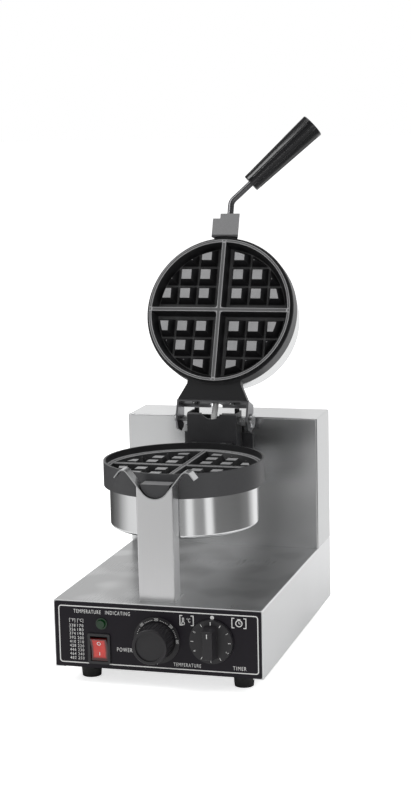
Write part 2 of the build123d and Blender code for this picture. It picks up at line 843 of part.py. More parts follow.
# Lid pan: the ring stands proud of the skirt and drops inside the lower skirt
tongue_half = 35.0
tongue_web_half = 45.5
tongue_front = 6.5
tongue_back = 20.0
rim_groove = 1.2
lid_front_lug = lug_profile(lid_plane, mould_radius - 2)
lid_relief = mould_relief(lid_plane)
with BuildPart() as lid_grid_pan:
    with BuildSketch(lid_plane):
        Circle(lid_ring_radius)
    extrude(amount=-lid_step)
    with BuildSketch(lid_plane.offset(-lid_step)):
        Circle(skirt_radius)
    extrude(amount=-pan_depth)
    add(lid_front_lug)
    extrude(amount=lid_lug_reach - mould_radius + 2, dir=lid_plane.y_dir)
    # Groove over the lower skirt's rim
    with BuildSketch(lid_plane):
        Circle(skirt_radius + rim_groove)
        Circle(lid_ring_radius, mode=Mode.SUBTRACT)
    extrude(amount=-lid_step, mode=Mode.SUBTRACT)
    with BuildSketch(lid_plane.offset(1)):
        with Locations((-lug_step_side - journal_radius, lid_lug_reach)):
            Rectangle(2 * journal_radius, 2 * lug_step_length)
    extrude(amount=-2 * journal_radius, mode=Mode.SUBTRACT)
    with BuildSketch(lid_plane.offset(-tongue_front)):
        with BuildLine():
            Polyline(
                (-tongue_half, -mould_radius + 2),
                (tongue_half, -mould_radius + 2),
                (tongue_half, -skirt_radius + 1),
                (tongue_web_half, -web_back),
                (-tongue_web_half, -web_back),
                (-tongue_half, -skirt_radius + 1),
                close=True,
            )
        make_face()
    extrude(amount=-(tongue_back - tongue_front))
    with BuildSketch(lid_plane):
        Circle(mould_radius)
    extrude(amount=-mould_depth, taper=mould_draft, mode=Mode.SUBTRACT)
    with BuildSketch(lid_plane.offset(-lid_step - pan_depth)):
        Circle(drum_radius - 4)
    extrude(amount=lid_step, mode=Mode.SUBTRACT)
    add(lid_relief.part)
    # Threaded holes for the hinge bracket's screws
    with BuildSketch(across(lid_plane, -web_back)):
        with Locations((0, (tongue_front + tongue_back) / 2)):
            with GridLocations(2 * web_screw_x, 0, 2, 1):
                Circle(small_screw_radius + running_fit)
    extrude(amount=12, mode=Mode.SUBTRACT)
    # Threaded socket for the handle rod
    with BuildSketch(across(lid_plane, lid_lug_reach)):
        with Locations((rod_x, journal_radius * 0.45)):
            Circle(rod_radius + running_fit)
    extrude(amount=-16, mode=Mode.SUBTRACT)
save(lid_grid_pan, "lid_grid_pan")


def local_height(plane):
    """Sort key: how far a face lies out along a pan's mould direction."""
    return lambda face: plane.to_local_coords(face.center()).Z


def drum_cover(plane, top, hole_x, hole_z):
    """A spun steel can over the heater, with a stud hole and a hole for the leads."""
    with BuildPart() as can:
        with BuildSketch(plane.offset(-top)):
            Circle(drum_radius)
        extrude(amount=-drum_height)
        caps = can.faces().filter_by(GeomType.PLANE).sort_by(local_height(plane))
        fillet(caps[0].edges(), drum_corner)
        rim = can.faces().filter_by(GeomType.PLANE).sort_by(local_height(plane))
        offset(amount=-drum_wall, openings=rim[-1])
        with BuildSketch(plane.offset(-top - drum_height - 1)):
            Circle(stud_radius + running_fit)
        extrude(amount=6, mode=Mode.SUBTRACT)
        with BuildSketch(across(plane, -drum_radius - 3)):
            with Locations((hole_x, -hole_z)):
                Circle(sleeve_radius + lead_hole_room)
        extrude(amount=10, mode=Mode.SUBTRACT)
    return can


def heating_element(plane):
    """A round tubular element under the plate, its two ends led out to the back."""
    ring_plane = plane.offset(-pan_depth - heater_tube - running_fit)
    end_angle = 20.0
    with BuildPart() as element:
        with BuildLine(ring_plane) as ring:
            CenterArc((0, 0), heater_radius, -90 + end_angle, 360 - 2 * end_angle)
        with BuildSketch(Plane(origin=ring.line @ 0, z_dir=ring.line % 0)):
            Circle(heater_tube)
        sweep()
        end_x = heater_radius * math.sin(math.radians(end_angle))
        end_y = heater_radius * math.cos(math.radians(end_angle))
        with BuildSketch(across(plane, -end_y)):
            with Locations((0, pan_depth + heater_tube + running_fit)):
                with GridLocations(2 * end_x, 0, 2, 1):
                    Circle(heater_tube * 0.75)
        extrude(amount=-(insulation_radius - 4 - end_y))
    return element


clamp_z = pan_depth + 2 * (heater_tube + running_fit)
insulation_z = clamp_z + clamp_thick


def disc_under(plane, top, radius, thick):
    """A round plate on the centre stud."""
    with BuildPart() as disc:
        with BuildSketch(plane.offset(-top)):
            Circle(radius)
            Circle(stud_radius + running_fit, mode=Mode.SUBTRACT)
        extrude(amount=-thick)
    return disc


def centre_stud(plane, can_top):
    """The stud that holds clamp, insulation and drum cover to the pan."""
    with BuildPart() as stud:
        with BuildSketch(plane.offset(-pan_depth)):
            Circle(stud_radius)
        extrude(amount=-(can_top + drum_height - pan_depth + 8))
        with BuildSketch(plane.offset(-insulation_z - insulation_thick)):
            RegularPolygon(nut_stud_across / 2, 6, major_radius=False)
        extrude(amount=-5)
    return stud


def cover_nut(plane, can_top):
    """The hexagon nut outside the drum cover."""
    with BuildPart() as nut:
        with BuildSketch(plane.offset(-can_top - drum_height)):
            Circle(nut_stud_across * 0.8)
            Circle(stud_radius + running_fit, mode=Mode.SUBTRACT)
        extrude(amount=-1.2)
        with BuildSketch(plane.offset(-can_top - drum_height - 1.2)):
            RegularPolygon(nut_stud_across / 2, 6, major_radius=False)
            Circle(stud_radius + running_fit, mode=Mode.SUBTRACT)
        extrude(amount=-5)
    return nut


lid_top = lid_step + pan_depth
lower_lead_z = -(pan_depth + 6.5)
lid_lead_z = -(lid_top + 8.0)
for pan, plane, can_top, lead_side, lead_z in (
    ("lower", lower_plane, pan_depth, sleeve_side, lower_lead_z),
    ("lid", lid_plane, lid_top, web_lead_side, lid_lead_z),
):
    save(drum_cover(plane, can_top, lead_side, lead_z), f"{pan}_drum_cover")
    save(heating_element(plane), f"{pan}_heating_element")
    save(disc_under(plane, clamp_z, clamp_radius, clamp_thick), f"{pan}_heater_clamp")
    save(disc_under(plane, insulation_z, insulation_radius, insulation_thick), f"{pan}_insulation")
    save(centre_stud(plane, can_top), f"{pan}_centre_stud")
    save(cover_nut(plane, can_top), f"{pan}_cover_nut")

# Hinge box: folded sheet on the lower pan's rear lug. Its back plate is the open lid's stop.
web_inner = -(hinge_back - web_back - bracket_sheet)
web_up = web_low + web_tall - lid_hinge_depth
flange_end = -(hinge_back - web_back - web_flange)
box_back_y = pan_y + box_back
stop_up = (box_back_y - hinge_y - flange_end * math.cos(lean)) / math.sin(lean)
stop_z = opened(flange_end, stop_up)[1] - seat_gap * 1.5
stop_slot = 15.0
with BuildPart() as hinge_box:
    with BuildSketch(across(lower_plane, -box_back)):
        with Locations((0, (pan_depth - box_rise) / 2)):
            Rectangle(2 * box_half, pan_depth + box_rise)
    extrude(amount=box_long)
    # Front upper edge cut back, so that the lid bracket's flange passes
    chamfer(hinge_box.edges().group_by(Axis.Z)[-1].group_by(Axis.Y)[0], box_edge_cut)
    with BuildSketch(across(lower_plane, -box_back + bracket_sheet)):
        with Locations((0, (pan_depth - box_rise) / 2)):
            Rectangle(2 * (box_half - bracket_sheet), pan_depth + box_rise)
    extrude(amount=box_long - 2 * bracket_sheet, mode=Mode.SUBTRACT)
    with BuildSketch(across(lower_plane, -box_back)):
        with Locations((0, -(box_rise + stop_z - lower_ring_z) / 2)):
            with GridLocations(2 * (box_half - bracket_sheet) - stop_tab, 0, 2, 1):
                Rectangle(stop_tab, stop_z - lower_ring_z - box_rise)
    extrude(amount=bracket_sheet)
    # Back plate lower between the two stop tabs
    with BuildSketch(across(lower_plane, -box_back)):
        with Locations((0, -box_rise)):
            Rectangle(2 * (box_half - bracket_sheet - stop_tab), 2 * back_plate_drop)
    extrude(amount=bracket_sheet, mode=Mode.SUBTRACT)
    # Notch that the lid's leads pass over
    with BuildSketch(across(lower_plane, -box_front_back)):
        with Locations((0, -(box_rise + notch_radius - notch_depth))):
            Circle(notch_radius)
    extrude(amount=-2 * bracket_sheet, mode=Mode.SUBTRACT)
    # Slot in the back plate's top edge for the lid's leads
    with BuildSketch(across(lower_plane, -box_back)):
        with Locations((-(sleeve_side + web_lead_side) / 2, plate_gap / 2 + flip_axis_height - stop_z)):
            Rectangle(2 * (sleeve_radius + lead_hole_room), 2 * stop_slot)
    extrude(amount=bracket_sheet, mode=Mode.SUBTRACT)
    # Tab on top of the rear lug, with its two screw holes
    with BuildSketch(lower_plane.offset(rear_lug_rise)):
        with Locations((0, -(box_front_back + skirt_radius + 3) / 2)):
            Rectangle(2 * (rear_lug_half - 2), box_front_back - skirt_radius - 3)
        with Locations((0, -tab_screw_reach)):
            with GridLocations(2 * tab_screw_x, 0, 2, 1):
                Circle(small_screw_radius + running_fit, mode=Mode.SUBTRACT)
    extrude(amount=bracket_sheet)
    # Shaft hole in the back plate and pin holes in the sides
    with BuildSketch(across(lower_plane, -box_back)):
        with Locations((0, -plate_gap / 2)):
            Circle(shaft_radius + running_fit)
    extrude(amount=bracket_sheet, mode=Mode.SUBTRACT)
    with BuildSketch(beside(lower_plane, -box_half)):
        with Locations((-hinge_back, hinge_rise)):
            Circle(hinge_pin_radius + running_fit)
    extrude(amount=2 * box_half, mode=Mode.SUBTRACT)
save(hinge_box, "hinge_box")

with BuildPart() as tab_screws:
    with BuildSketch(lower_plane.offset(rear_lug_rise + bracket_sheet)):
        with Locations((0, -tab_screw_reach)):
            with GridLocations(2 * tab_screw_x, 0, 2, 1):
                Circle(small_head_radius)
    extrude(amount=small_head_thick)
    fillet(tab_screws.faces().group_by(Axis.Z)[-1].edges(), 1.0)
    with BuildSketch(lower_plane.offset(rear_lug_rise + bracket_sheet)):
        with Locations((0, -tab_screw_reach)):
            with GridLocations(2 * tab_screw_x, 0, 2, 1):
                Circle(small_screw_radius)
    extrude(amount=-(bracket_sheet + 8))
save(tab_screws, "tab_screws")

# Hinge pins through cheeks, washers, nuts and box sides; the lid turns on them
pin_plane = beside(lid_plane, 0)
pin_centre = (-hinge_back, -lid_hinge_depth)
pin_inner = box_half - bracket_sheet - 3
head_seat = cheek_outer + seat_gap
with BuildPart() as hinge_pins:
    for side in (-1, 1):
        with BuildSketch(pin_plane.offset(side * pin_inner)):
            with Locations(pin_centre):
                Circle(hinge_pin_radius)
        extrude(amount=side * (head_seat - pin_inner))
        with BuildSketch(pin_plane.offset(side * head_seat)):
            with Locations(pin_centre):
                Circle(hinge_head_radius)
        extrude(amount=side * hinge_head_thick)
    domes = hinge_pins.faces().group_by(Axis.X)
    fillet(domes[0].edges() + domes[-1].edges(), 2.4)
save(hinge_pins, "hinge_pins")

with BuildPart() as hinge_nuts:
    for side in (-1, 1):
        with BuildSketch(pin_plane.offset(side * box_half)):
            with Locations(pin_centre):
                Circle(nut_across * 0.5)
                Circle(hinge_pin_radius + running_fit, mode=Mode.SUBTRACT)
        extrude(amount=side * washer_thick)
        with BuildSketch(pin_plane.offset(side * (box_half + washer_thick))):
            with Locations(pin_centre):
                RegularPolygon(nut_across / 2, 6, major_radius=False)
                Circle(hinge_pin_radius + running_fit, mode=Mode.SUBTRACT)
        extrude(amount=side * nut_thick)
save(hinge_nuts, "hinge_nuts")


def from_hinge(back, up):
    """Sketch point on a plane beside the lid, measured from the hinge with the lid closed."""
    return (-hinge_back - back, -lid_hinge_depth - up)


# Lid hinge bracket: a web behind the lid's rear tongue and two cheeks on the pins
web_down = -(lid_hinge_depth - web_low)
web_face = -(hinge_back - web_back)
with BuildPart() as lid_hinge_bracket:
    with BuildSketch(across(lid_plane, -web_back)):
        with Locations((0, web_low + web_tall / 2)):
            Rectangle(2 * cheek_outer, web_tall)
        with Locations((0, (tongue_front + tongue_back) / 2)):
            with GridLocations(2 * web_screw_x, 0, 2, 1):
                Circle(small_screw_radius + running_fit, mode=Mode.SUBTRACT)
        with Locations((web_lead_side, lid_hinge_depth)):
            Circle(sleeve_radius + 2 * lead_hole_room, mode=Mode.SUBTRACT)
    extrude(amount=-bracket_sheet)
    # Short flange along the web's upper edge; it meets the hinge box when the lid is open
    with BuildSketch(across(lid_plane, -web_back)):
        with Locations((0, web_low + web_tall - bracket_sheet / 2)):
            Rectangle(2 * cheek_outer, bracket_sheet)
    extrude(amount=-web_flange)
    # Lead hole open to the upper edge
    with BuildSketch(across(lid_plane, -web_back)):
        with Locations((web_lead_side, lid_hinge_depth + web_up)):
            Rectangle(2 * (sleeve_radius + 2 * lead_hole_room), 2 * web_up)
    extrude(amount=-web_flange, mode=Mode.SUBTRACT)
    for inner in (cheek_outer - bracket_sheet, -cheek_outer):
        with BuildSketch(pin_plane.offset(inner)):
            with BuildLine():
                Polyline(
                    from_hinge(web_face, web_up),
                    from_hinge(web_face, web_down),
                    from_hinge(cheek_round - cheek_chamfer, web_down),
                    from_hinge(cheek_round, web_down + cheek_chamfer),
                    from_hinge(cheek_round, cheek_round / 2),
                    from_hinge(cheek_round / 2, cheek_round),
                    from_hinge(0, cheek_round),
                    close=True,
                )
            make_face()
            with Locations(pin_centre):
                Circle(hinge_pin_radius + running_fit, mode=Mode.SUBTRACT)
        extrude(amount=bracket_sheet)
save(lid_hinge_bracket, "lid_hinge_bracket")

with BuildPart() as web_screws:
    with BuildSketch(across(lid_plane, -web_back - bracket_sheet)):
        with Locations((0, (tongue_front + tongue_back) / 2)):
            with GridLocations(2 * web_screw_x, 0, 2, 1):
                Circle(small_head_radius)
    extrude(amount=-small_head_thick)
    with BuildSketch(across(lid_plane, -web_back - bracket_sheet)):
        with Locations((0, (tongue_front + tongue_back) / 2)):
            with GridLocations(2 * web_screw_x, 0, 2, 1):
                Circle(small_screw_radius)
    extrude(amount=bracket_sheet + 11)
save(web_screws, "web_screws")

# Handle: a bent rod in the lid's lug and a tapered, fluted grip
rod_plane = lid_plane.offset(-journal_radius * 0.45)
slant = math.radians(handle_angle)
rod_bend_radius = 11.0
rod_sink = 15.0
rod_in_grip = 60.0
grip_x = rod_x + rod_slant * math.sin(slant)
grip_y = rod_bend_reach + rod_slant * math.cos(slant)
with BuildPart() as handle_rod:
    with BuildLine(rod_plane):
        FilletPolyline(
            (rod_x, lid_lug_reach - rod_sink),
            (rod_x, rod_bend_reach),
            (grip_x + rod_in_grip * math.sin(slant), grip_y + rod_in_grip * math.cos(slant)),
            radius=rod_bend_radius,
        )
    with BuildSketch(across(rod_plane, lid_lug_reach - rod_sink)):
        with Locations((rod_x, 0)):
            Circle(rod_radius)
    sweep()
save(handle_rod, "handle_rod")

grip_direction = rod_plane.from_local_coords((math.sin(slant), math.cos(slant), 0)) - rod_plane.origin
grip_plane = Plane(
    origin=rod_plane.from_local_coords((grip_x, grip_y, 0)),
    x_dir=rod_plane.z_dir,
    z_dir=grip_direction,
)
with BuildPart() as handle_grip:
    with BuildSketch(grip_plane):
        Circle(grip_small_radius)
    with BuildSketch(grip_plane.offset(grip_length)):
        Circle(grip_large_radius)
    loft()
    grip_ends = handle_grip.faces().filter_by(GeomType.PLANE)
    fillet(grip_ends.edges(), 1.5)
    for turn in range(grip_flutes):
        angle = turn * 360 / grip_flutes
        with BuildSketch(grip_plane.offset(7)):
            with PolarLocations(grip_small_radius + 0.75, 1, start_angle=angle):
                Circle(flute_radius)
        with BuildSketch(grip_plane.offset(grip_length - 6)):
            with PolarLocations(grip_large_radius + 0.35, 1, start_angle=angle):
                Circle(flute_radius)
        loft(mode=Mode.SUBTRACT)
    with BuildSketch(grip_plane):
        Circle(rod_radius + running_fit)
    extrude(amount=rod_in_grip + 1, mode=Mode.SUBTRACT)
save(handle_grip, "handle_grip")

# Flip shaft: a hollow tube that carries the iron and brings in the leads
shaft_plane = Plane(origin=(axis_x, 0, flip_axis_height), x_dir=(1, 0, 0), z_dir=(0, 1, 0))
shaft_start = pan_y + box_front_back + bracket_sheet
collar_thick = 10.0
shaft_end = column_front + housing_inside + collar_thick + 8
flange_radius = 19.0
window_long = 20.0
window = sleeve_radius + seat_gap
window_side = 1.0
with BuildPart() as flip_shaft:
    with BuildSketch(shaft_plane.offset(shaft_start)):
        Circle(shaft_radius)
    extrude(amount=shaft_end - shaft_start)
    with BuildSketch(shaft_plane.offset(shaft_start)):
        Circle(flange_radius)
    extrude(amount=bracket_sheet)
    with BuildSketch(shaft_plane.offset(shaft_start)):
        Circle(shaft_bore)
    extrude(amount=shaft_end - shaft_start, mode=Mode.SUBTRACT)
    # Windows for the lid's leads above and the lower pan's leads below
    with BuildSketch(Plane.XY.offset(flip_axis_height)):
        with Locations((axis_x + sleeve_side + window_side, hinge_y + 5)):
            Rectangle(2 * (window + window_side), window_long)
    extrude(amount=2 * shaft_radius, mode=Mode.SUBTRACT)
    with BuildSketch(Plane.XY.offset(flip_axis_height)):
        with Locations((axis_x - sleeve_side, hinge_y + 1)):
            Rectangle(2 * window, window_long)
    extrude(amount=-2 * shaft_radius, mode=Mode.SUBTRACT)
save(flip_shaft, "flip_shaft")

# Bearing housing on the column front, its bush, screws and the retaining collar
bush_radius = 15.0
wing_half = 45.0
wing_top = 9.1
wing_low = -36.0
with BuildPart() as bearing_housing:
    with BuildSketch(shaft_plane.offset(column_front)):
        Circle(housing_radius)
        # Wings of the flange beside the shaft
        with Locations((0, -(wing_top + wing_low) / 2)):
            Rectangle(2 * wing_half, wing_top - wing_low)
        with PolarLocations(housing_screw_circle, 4, start_angle=45):
            Circle(small_screw_radius + running_fit, mode=Mode.SUBTRACT)
    extrude(amount=-housing_flange)
    with BuildSketch(shaft_plane.offset(column_front)):
        Circle(bearing_hole_radius)
    extrude(amount=housing_inside)
    with BuildSketch(shaft_plane.offset(column_front - housing_flange)):
        Circle(bush_radius + running_fit)
    extrude(amount=housing_flange + housing_inside, mode=Mode.SUBTRACT)
save(bearing_housing, "bearing_housing")

with BuildPart() as bearing_bush:
    with BuildSketch(shaft_plane.offset(column_front - housing_flange)):
        Circle(bush_radius)
        Circle(shaft_radius + running_fit, mode=Mode.SUBTRACT)
    extrude(amount=housing_flange + housing_inside)
save(bearing_bush, "bearing_bush")

with BuildPart() as bearing_screws:
    with BuildSketch(shaft_plane.offset(column_front - housing_flange)):
        with PolarLocations(housing_screw_circle, 4, start_angle=45):
            Circle(small_head_radius - 0.8)
    extrude(amount=-small_head_thick + 0.6)
    with BuildSketch(shaft_plane.offset(column_front - housing_flange)):
        with PolarLocations(housing_screw_circle, 4, start_angle=45):
            Circle(small_screw_radius)
    extrude(amount=housing_flange + sheet + 6)
save(bearing_screws, "bearing_screws")

with BuildPart() as shaft_collar:
    with BuildSketch(shaft_plane.offset(column_front + housing_inside + seat_gap)):
        Circle(shaft_radius + 7)
        Circle(shaft_radius + running_fit, mode=Mode.SUBTRACT)
    extrude(amount=collar_thick)
save(shaft_collar, "shaft_collar")


def corner_radii(points):
    """The largest arcs that the runs on both sides of each corner allow."""
    radii = []
    for before, corner, after in zip(points, points[1:], points[2:]):
        run_in = Vector(*corner) - Vector(*before)
        run_out = Vector(*after) - Vector(*corner)
        half_turn = math.radians(run_in.get_angle(run_out) / 2)
        radii.append(0.45 * min(run_in.length, run_out.length) / math.tan(half_turn))
    return radii


def lead(points, radius):
    """A sleeved lead along straight runs joined by tangent arcs."""
    radii = corner_radii(points)
    print("lead radii", [round(r, 1) for r in radii])
    with BuildPart() as tube:
        with BuildLine() as route:
            FilletPolyline(*points, radius=radii)
        with BuildSketch(Plane(origin=route.line @ 0, z_dir=route.line % 0)):
            Circle(radius)
        sweep()
    return tube


# Heater leads in white sleeving, out of the hollow shaft to each pan
sleeve_start = column_front + housing_inside
lid_x = axis_x + sleeve_side
lower_x = axis_x - sleeve_side
web_middle = web_inner - bracket_sheet / 2
drum_entry = -(hinge_back - drum_radius)
entry_up = -lid_lead_z - lid_hinge_depth
lid_web_x = axis_x + web_lead_side
lid_route = [
    (lid_x, sleeve_start, flip_axis_height),
    (lid_x, hinge_y + 1, flip_axis_height),
    (lid_web_x, *opened(web_middle, 0)),
    (lid_web_x, *opened(drum_entry - 3, entry_up)),
]
save(lead(lid_route, sleeve_radius), "lid_lead_sleeve")

lower_lead_height = lower_ring_z + lower_lead_z
lower_route = [
    (lower_x, sleeve_start, flip_axis_height),
    (lower_x, hinge_y - 4, flip_axis_height),
    (lower_x, hinge_y - 4, lower_lead_height),
    (lower_x, pan_y + drum_radius - 3, lower_lead_height),
]
save(lead(lower_route, sleeve_radius), "lower_lead_sleeve")

# Leads that stay in the column, from the shaft's mouth down to the terminal block
column_lead_radius = 4.5
lead_out = 10.0
lead_drop = 60.0
lead_over_base = 20.0
lead_over_block = 36.0
column_route = [
    (axis_x, sleeve_start + seat_gap + 1, flip_axis_height),
    (axis_x, shaft_end + lead_out, flip_axis_height),
    (axis_x + 4, shaft_end + lead_out + 2, flip_axis_height - lead_drop),
    (axis_x, shaft_end + lead_out - 2, base_top + lead_over_base),
    (terminal_x, terminal_y, plate_top + terminal_tall + lead_over_block),
    (terminal_x, terminal_y, plate_top + terminal_tall + seat_gap),
]
save(lead(column_route, column_lead_radius), "column_leads")

# Leads along the bottom plate from the terminal block to the controls
panel_lead_radius = 3.0
lead_rest = 2 * panel_lead_radius
lead_run = 69.0
lead_side = 15.0
lead_rise_back = 48.5
lead_straight = 20.5
lead_start_y = terminal_y - terminal_long / 2 - seat_gap
lead_end_y = front_y + sheet + thermostat_body_deep + control_tab + seat_gap
panel_route = [
    (terminal_x, lead_start_y, plate_top + lead_rest + 2),
    (terminal_x, lead_start_y - lead_run, plate_top + lead_rest),
    (terminal_x - lead_side, lead_start_y / 2 + lead_end_y / 2, plate_top + lead_rest),
    (dial_x + lead_side / 2, lead_end_y + lead_rise_back, plate_top + lead_rest + 2),
    (dial_x, lead_end_y + lead_straight, dial_z),
    (dial_x, lead_end_y, dial_z),
]
save(lead(panel_route, panel_lead_radius), "panel_leads")
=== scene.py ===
import math

import bmesh
import bpy
from mathutils import Matrix, Vector


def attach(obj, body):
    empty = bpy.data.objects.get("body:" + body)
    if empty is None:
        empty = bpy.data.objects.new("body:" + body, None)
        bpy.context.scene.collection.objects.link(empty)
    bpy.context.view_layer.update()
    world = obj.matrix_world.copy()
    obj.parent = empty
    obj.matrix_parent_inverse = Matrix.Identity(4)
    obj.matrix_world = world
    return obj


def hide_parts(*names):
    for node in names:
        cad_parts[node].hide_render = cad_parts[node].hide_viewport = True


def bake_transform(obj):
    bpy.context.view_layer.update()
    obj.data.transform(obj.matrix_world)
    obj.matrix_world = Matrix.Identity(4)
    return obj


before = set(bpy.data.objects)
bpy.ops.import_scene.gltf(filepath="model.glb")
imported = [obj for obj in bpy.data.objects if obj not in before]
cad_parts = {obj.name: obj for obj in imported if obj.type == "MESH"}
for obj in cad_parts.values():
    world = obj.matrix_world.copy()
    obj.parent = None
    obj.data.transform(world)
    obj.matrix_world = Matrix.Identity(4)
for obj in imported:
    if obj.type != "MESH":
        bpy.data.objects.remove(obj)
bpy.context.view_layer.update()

MM = 0.001

# Middles of the dial ring, the timer and the rocker on the panel: x and z in millimetres
DIAL = (0.3, 58.4)
TIMER = (65.5, 61.2)
ROCKER = (-69.6, 44.0)

# Other places on the machine, in metres
PANEL_Y = -182.0 * MM
PAN_CENTRE = (-3.1 * MM, -48.0 * MM, 236.05 * MM)
LID_CENTRE = Vector((-3.1, 118.82, 403.98)) * MM
LEAN = math.radians(111.9)
LID_OUT = Vector((0, -math.sin(LEAN), -math.cos(LEAN)))
LID_UP = Vector((0, -math.cos(LEAN), math.sin(LEAN)))
WORLD_UP = Vector((0, 0, 1))


# Materials

class Shader:
    """A procedural material on a Principled shader, with short calls for its nodes."""

    def __init__(self, name, colour, rough, metal=0.0, **fixed):
        self.material = bpy.data.materials.new(name)
        self.material.use_nodes = True
        self.tree = self.material.node_tree
        self.surface = self.tree.nodes["Principled BSDF"]
        self.surface.inputs["Base Color"].default_value = (*colour, 1)
        self.surface.inputs["Roughness"].default_value = rough
        self.surface.inputs["Metallic"].default_value = metal
        for socket, value in fixed.items():
            self.surface.inputs[socket.replace("_", " ")].default_value = value
        self.place = self.add("ShaderNodeTexCoord").outputs["Object"]

    def add(self, kind, **settings):
        made = self.tree.nodes.new(kind)
        for key, value in settings.items():
            setattr(made, key, value)
        return made

    def link(self, source, target):
        self.tree.links.new(source, target)

    def scaled(self, scale, turn=(0, 0, 0)):
        """The surface point, scaled so that a noise on it is as fine as wanted."""
        mapping = self.add("ShaderNodeMapping")
        mapping.inputs["Scale"].default_value = scale
        mapping.inputs["Rotation"].default_value = turn
        self.link(self.place, mapping.inputs["Vector"])
        return mapping.outputs["Vector"]

    def noise(self, vector, detail=3.0, rough=0.55):
        made = self.add("ShaderNodeTexNoise")
        made.inputs["Scale"].default_value = 1.0
        made.inputs["Detail"].default_value = detail
        made.inputs["Roughness"].default_value = rough
        self.link(vector, made.inputs["Vector"])
        return made.outputs["Fac"]

    def ramp(self, value, low, high, to_low=0.0, to_high=1.0):
        made = self.add("ShaderNodeMapRange")
        made.inputs["From Min"].default_value = low
        made.inputs["From Max"].default_value = high
        made.inputs["To Min"].default_value = to_low
        made.inputs["To Max"].default_value = to_high
        self.link(value, made.inputs["Value"])
        return made.outputs["Result"]

    def band(self, value, rise, fall):
        """One between two soft steps and nothing outside them."""
        return self.math("MULTIPLY", self.ramp(value, *rise), self.ramp(value, *fall))

    def math(self, operation, a, b=0):
        made = self.add("ShaderNodeMath", operation=operation)
        for socket, value in zip(made.inputs, (a, b)):
            if isinstance(value, (int, float)):
                socket.default_value = value
            else:
                self.link(value, socket)
        return made.outputs[0]

    def mix(self, factor, colour_a, colour_b):
        made = self.add("ShaderNodeMix", data_type="RGBA")
        self.link(factor, made.inputs["Factor"])
        for socket, colour in ((made.inputs[6], colour_a), (made.inputs[7], colour_b)):
            if isinstance(colour, tuple):
                socket.default_value = (*colour, 1)
            else:
                self.link(colour, socket)
        return made.outputs[2]

    def vector_math(self, operation, a, b=None):
        """A vector node on a socket and a fixed vector, or on the socket alone."""
        made = self.add("ShaderNodeVectorMath", operation=operation)
        self.link(a, made.inputs[0])
        if b is not None:
            made.inputs[1].default_value = b
        return made.outputs

    def share_of(self, vector, direction):
        """How much of a vector lies along a direction."""
        return self.vector_math("DOT_PRODUCT", vector, direction)["Value"]

    def along(self, direction, origin):
        """Distance in metres of the surface point from origin, along a direction."""
        return self.share_of(self.vector_math("SUBTRACT", self.place, origin)[0], direction)

    def out_from(self, direction, origin):
        """Distance in metres of the surface point from an axis."""
        shifted = self.vector_math("SUBTRACT", self.place, origin)[0]
        cross = self.vector_math("CROSS_PRODUCT", shifted, direction)[0]
        return self.vector_math("LENGTH", cross)["Value"]

    def colour(self, source):
        self.link(source, self.surface.inputs["Base Color"])

    def rough(self, source):
        self.link(source, self.surface.inputs["Roughness"])

    def bump(self, height, distance, strength=1.0):
        made = self.add("ShaderNodeBump")
        made.inputs["Distance"].default_value = distance
        made.inputs["Strength"].default_value = strength
        self.link(height, made.inputs["Height"])
        self.link(made.outputs["Normal"], self.surface.inputs["Normal"])


# How fine the steel's streaks are across the grain and along it
FINE_STREAKS = 2600.0
LONG_STREAKS = 14.0


def shade(colour, factor):
    return tuple(min(1.0, c * factor) for c in colour)


def brushed(name, colour, rough, grain, painted_reflection=None, level_only=False):
    """Sheet steel brushed along one axis: streaks long in the grain and fine across it.

    Its optional fifth argument gives the direction, start, end and factor of a darker tone painted
    towards one side as a painted reflection; level_only keeps it to the top.
    """
    s = Shader(name, colour, rough, 1.0)
    scale = [FINE_STREAKS, FINE_STREAKS, FINE_STREAKS]
    scale["XYZ".index(grain)] = LONG_STREAKS
    streaks = s.noise(s.scaled(scale), detail=2.0, rough=0.6)
    cloud = s.noise(s.scaled((9, 9, 3)), detail=2.0)
    tone = s.math("ADD", s.ramp(streaks, 0.25, 0.75, 0, 0.35), s.ramp(cloud, 0.3, 0.7, 0, 0.5))
    sheet_colour = s.mix(tone, shade(colour, 0.95), shade(colour, 1.04))
    # Painted reflection: a darker tone painted towards one side of the sheet
    if painted_reflection:
        side, start, end, factor = painted_reflection
        slow = s.noise(s.scaled((22, 22, 0.4)), detail=0.0)
        across = s.ramp(s.along(side, (0, 0, 0)), start, end)
        across = s.math("ADD", across, s.ramp(slow, 0.3, 0.7, -0.3, 0.3))
        if level_only:
            facing = s.add("ShaderNodeSeparateXYZ")
            s.link(s.add("ShaderNodeNewGeometry").outputs["Normal"], facing.inputs[0])
            across = s.math("MULTIPLY", s.ramp(across, 0.0, 1.0), s.ramp(facing.outputs[2], 0.7, 0.9))
        reflection_tone = s.mix(tone, shade(colour, 0.95 * factor), shade(colour, 1.04 * factor))
        sheet_colour = s.mix(across, sheet_colour, reflection_tone)
    s.colour(sheet_colour)
    s.rough(s.ramp(tone, 0, 1, rough - 0.015, rough + 0.025))
    s.bump(streaks, 0.000002, 0.5)
    return s.material


def spun(name, colour, rough, axis, origin):
    """A spun steel can: fine rings round its axis."""
    s = Shader(name, colour, rough, 1.0)
    height = s.math("MULTIPLY", s.along(axis, origin), FINE_STREAKS)
    reach = s.math("MULTIPLY", s.out_from(axis, origin), FINE_STREAKS)
    rings = s.add("ShaderNodeCombineXYZ")
    s.link(height, rings.inputs[0])
    s.link(reach, rings.inputs[1])
    streaks = s.noise(rings.outputs[0], detail=3.0, rough=0.7)
    cloud = s.noise(s.scaled((9, 9, 9)), detail=2.0)
    tone = s.math("ADD", s.ramp(streaks, 0.25, 0.75, 0, 0.7), s.ramp(cloud, 0.3, 0.7, 0, 0.3))
    s.colour(s.mix(tone, shade(colour, 0.92), shade(colour, 1.05)))
    s.rough(s.ramp(tone, 0, 1, rough - 0.03, rough + 0.04))
    s.bump(streaks, 0.000005)
    return s.material


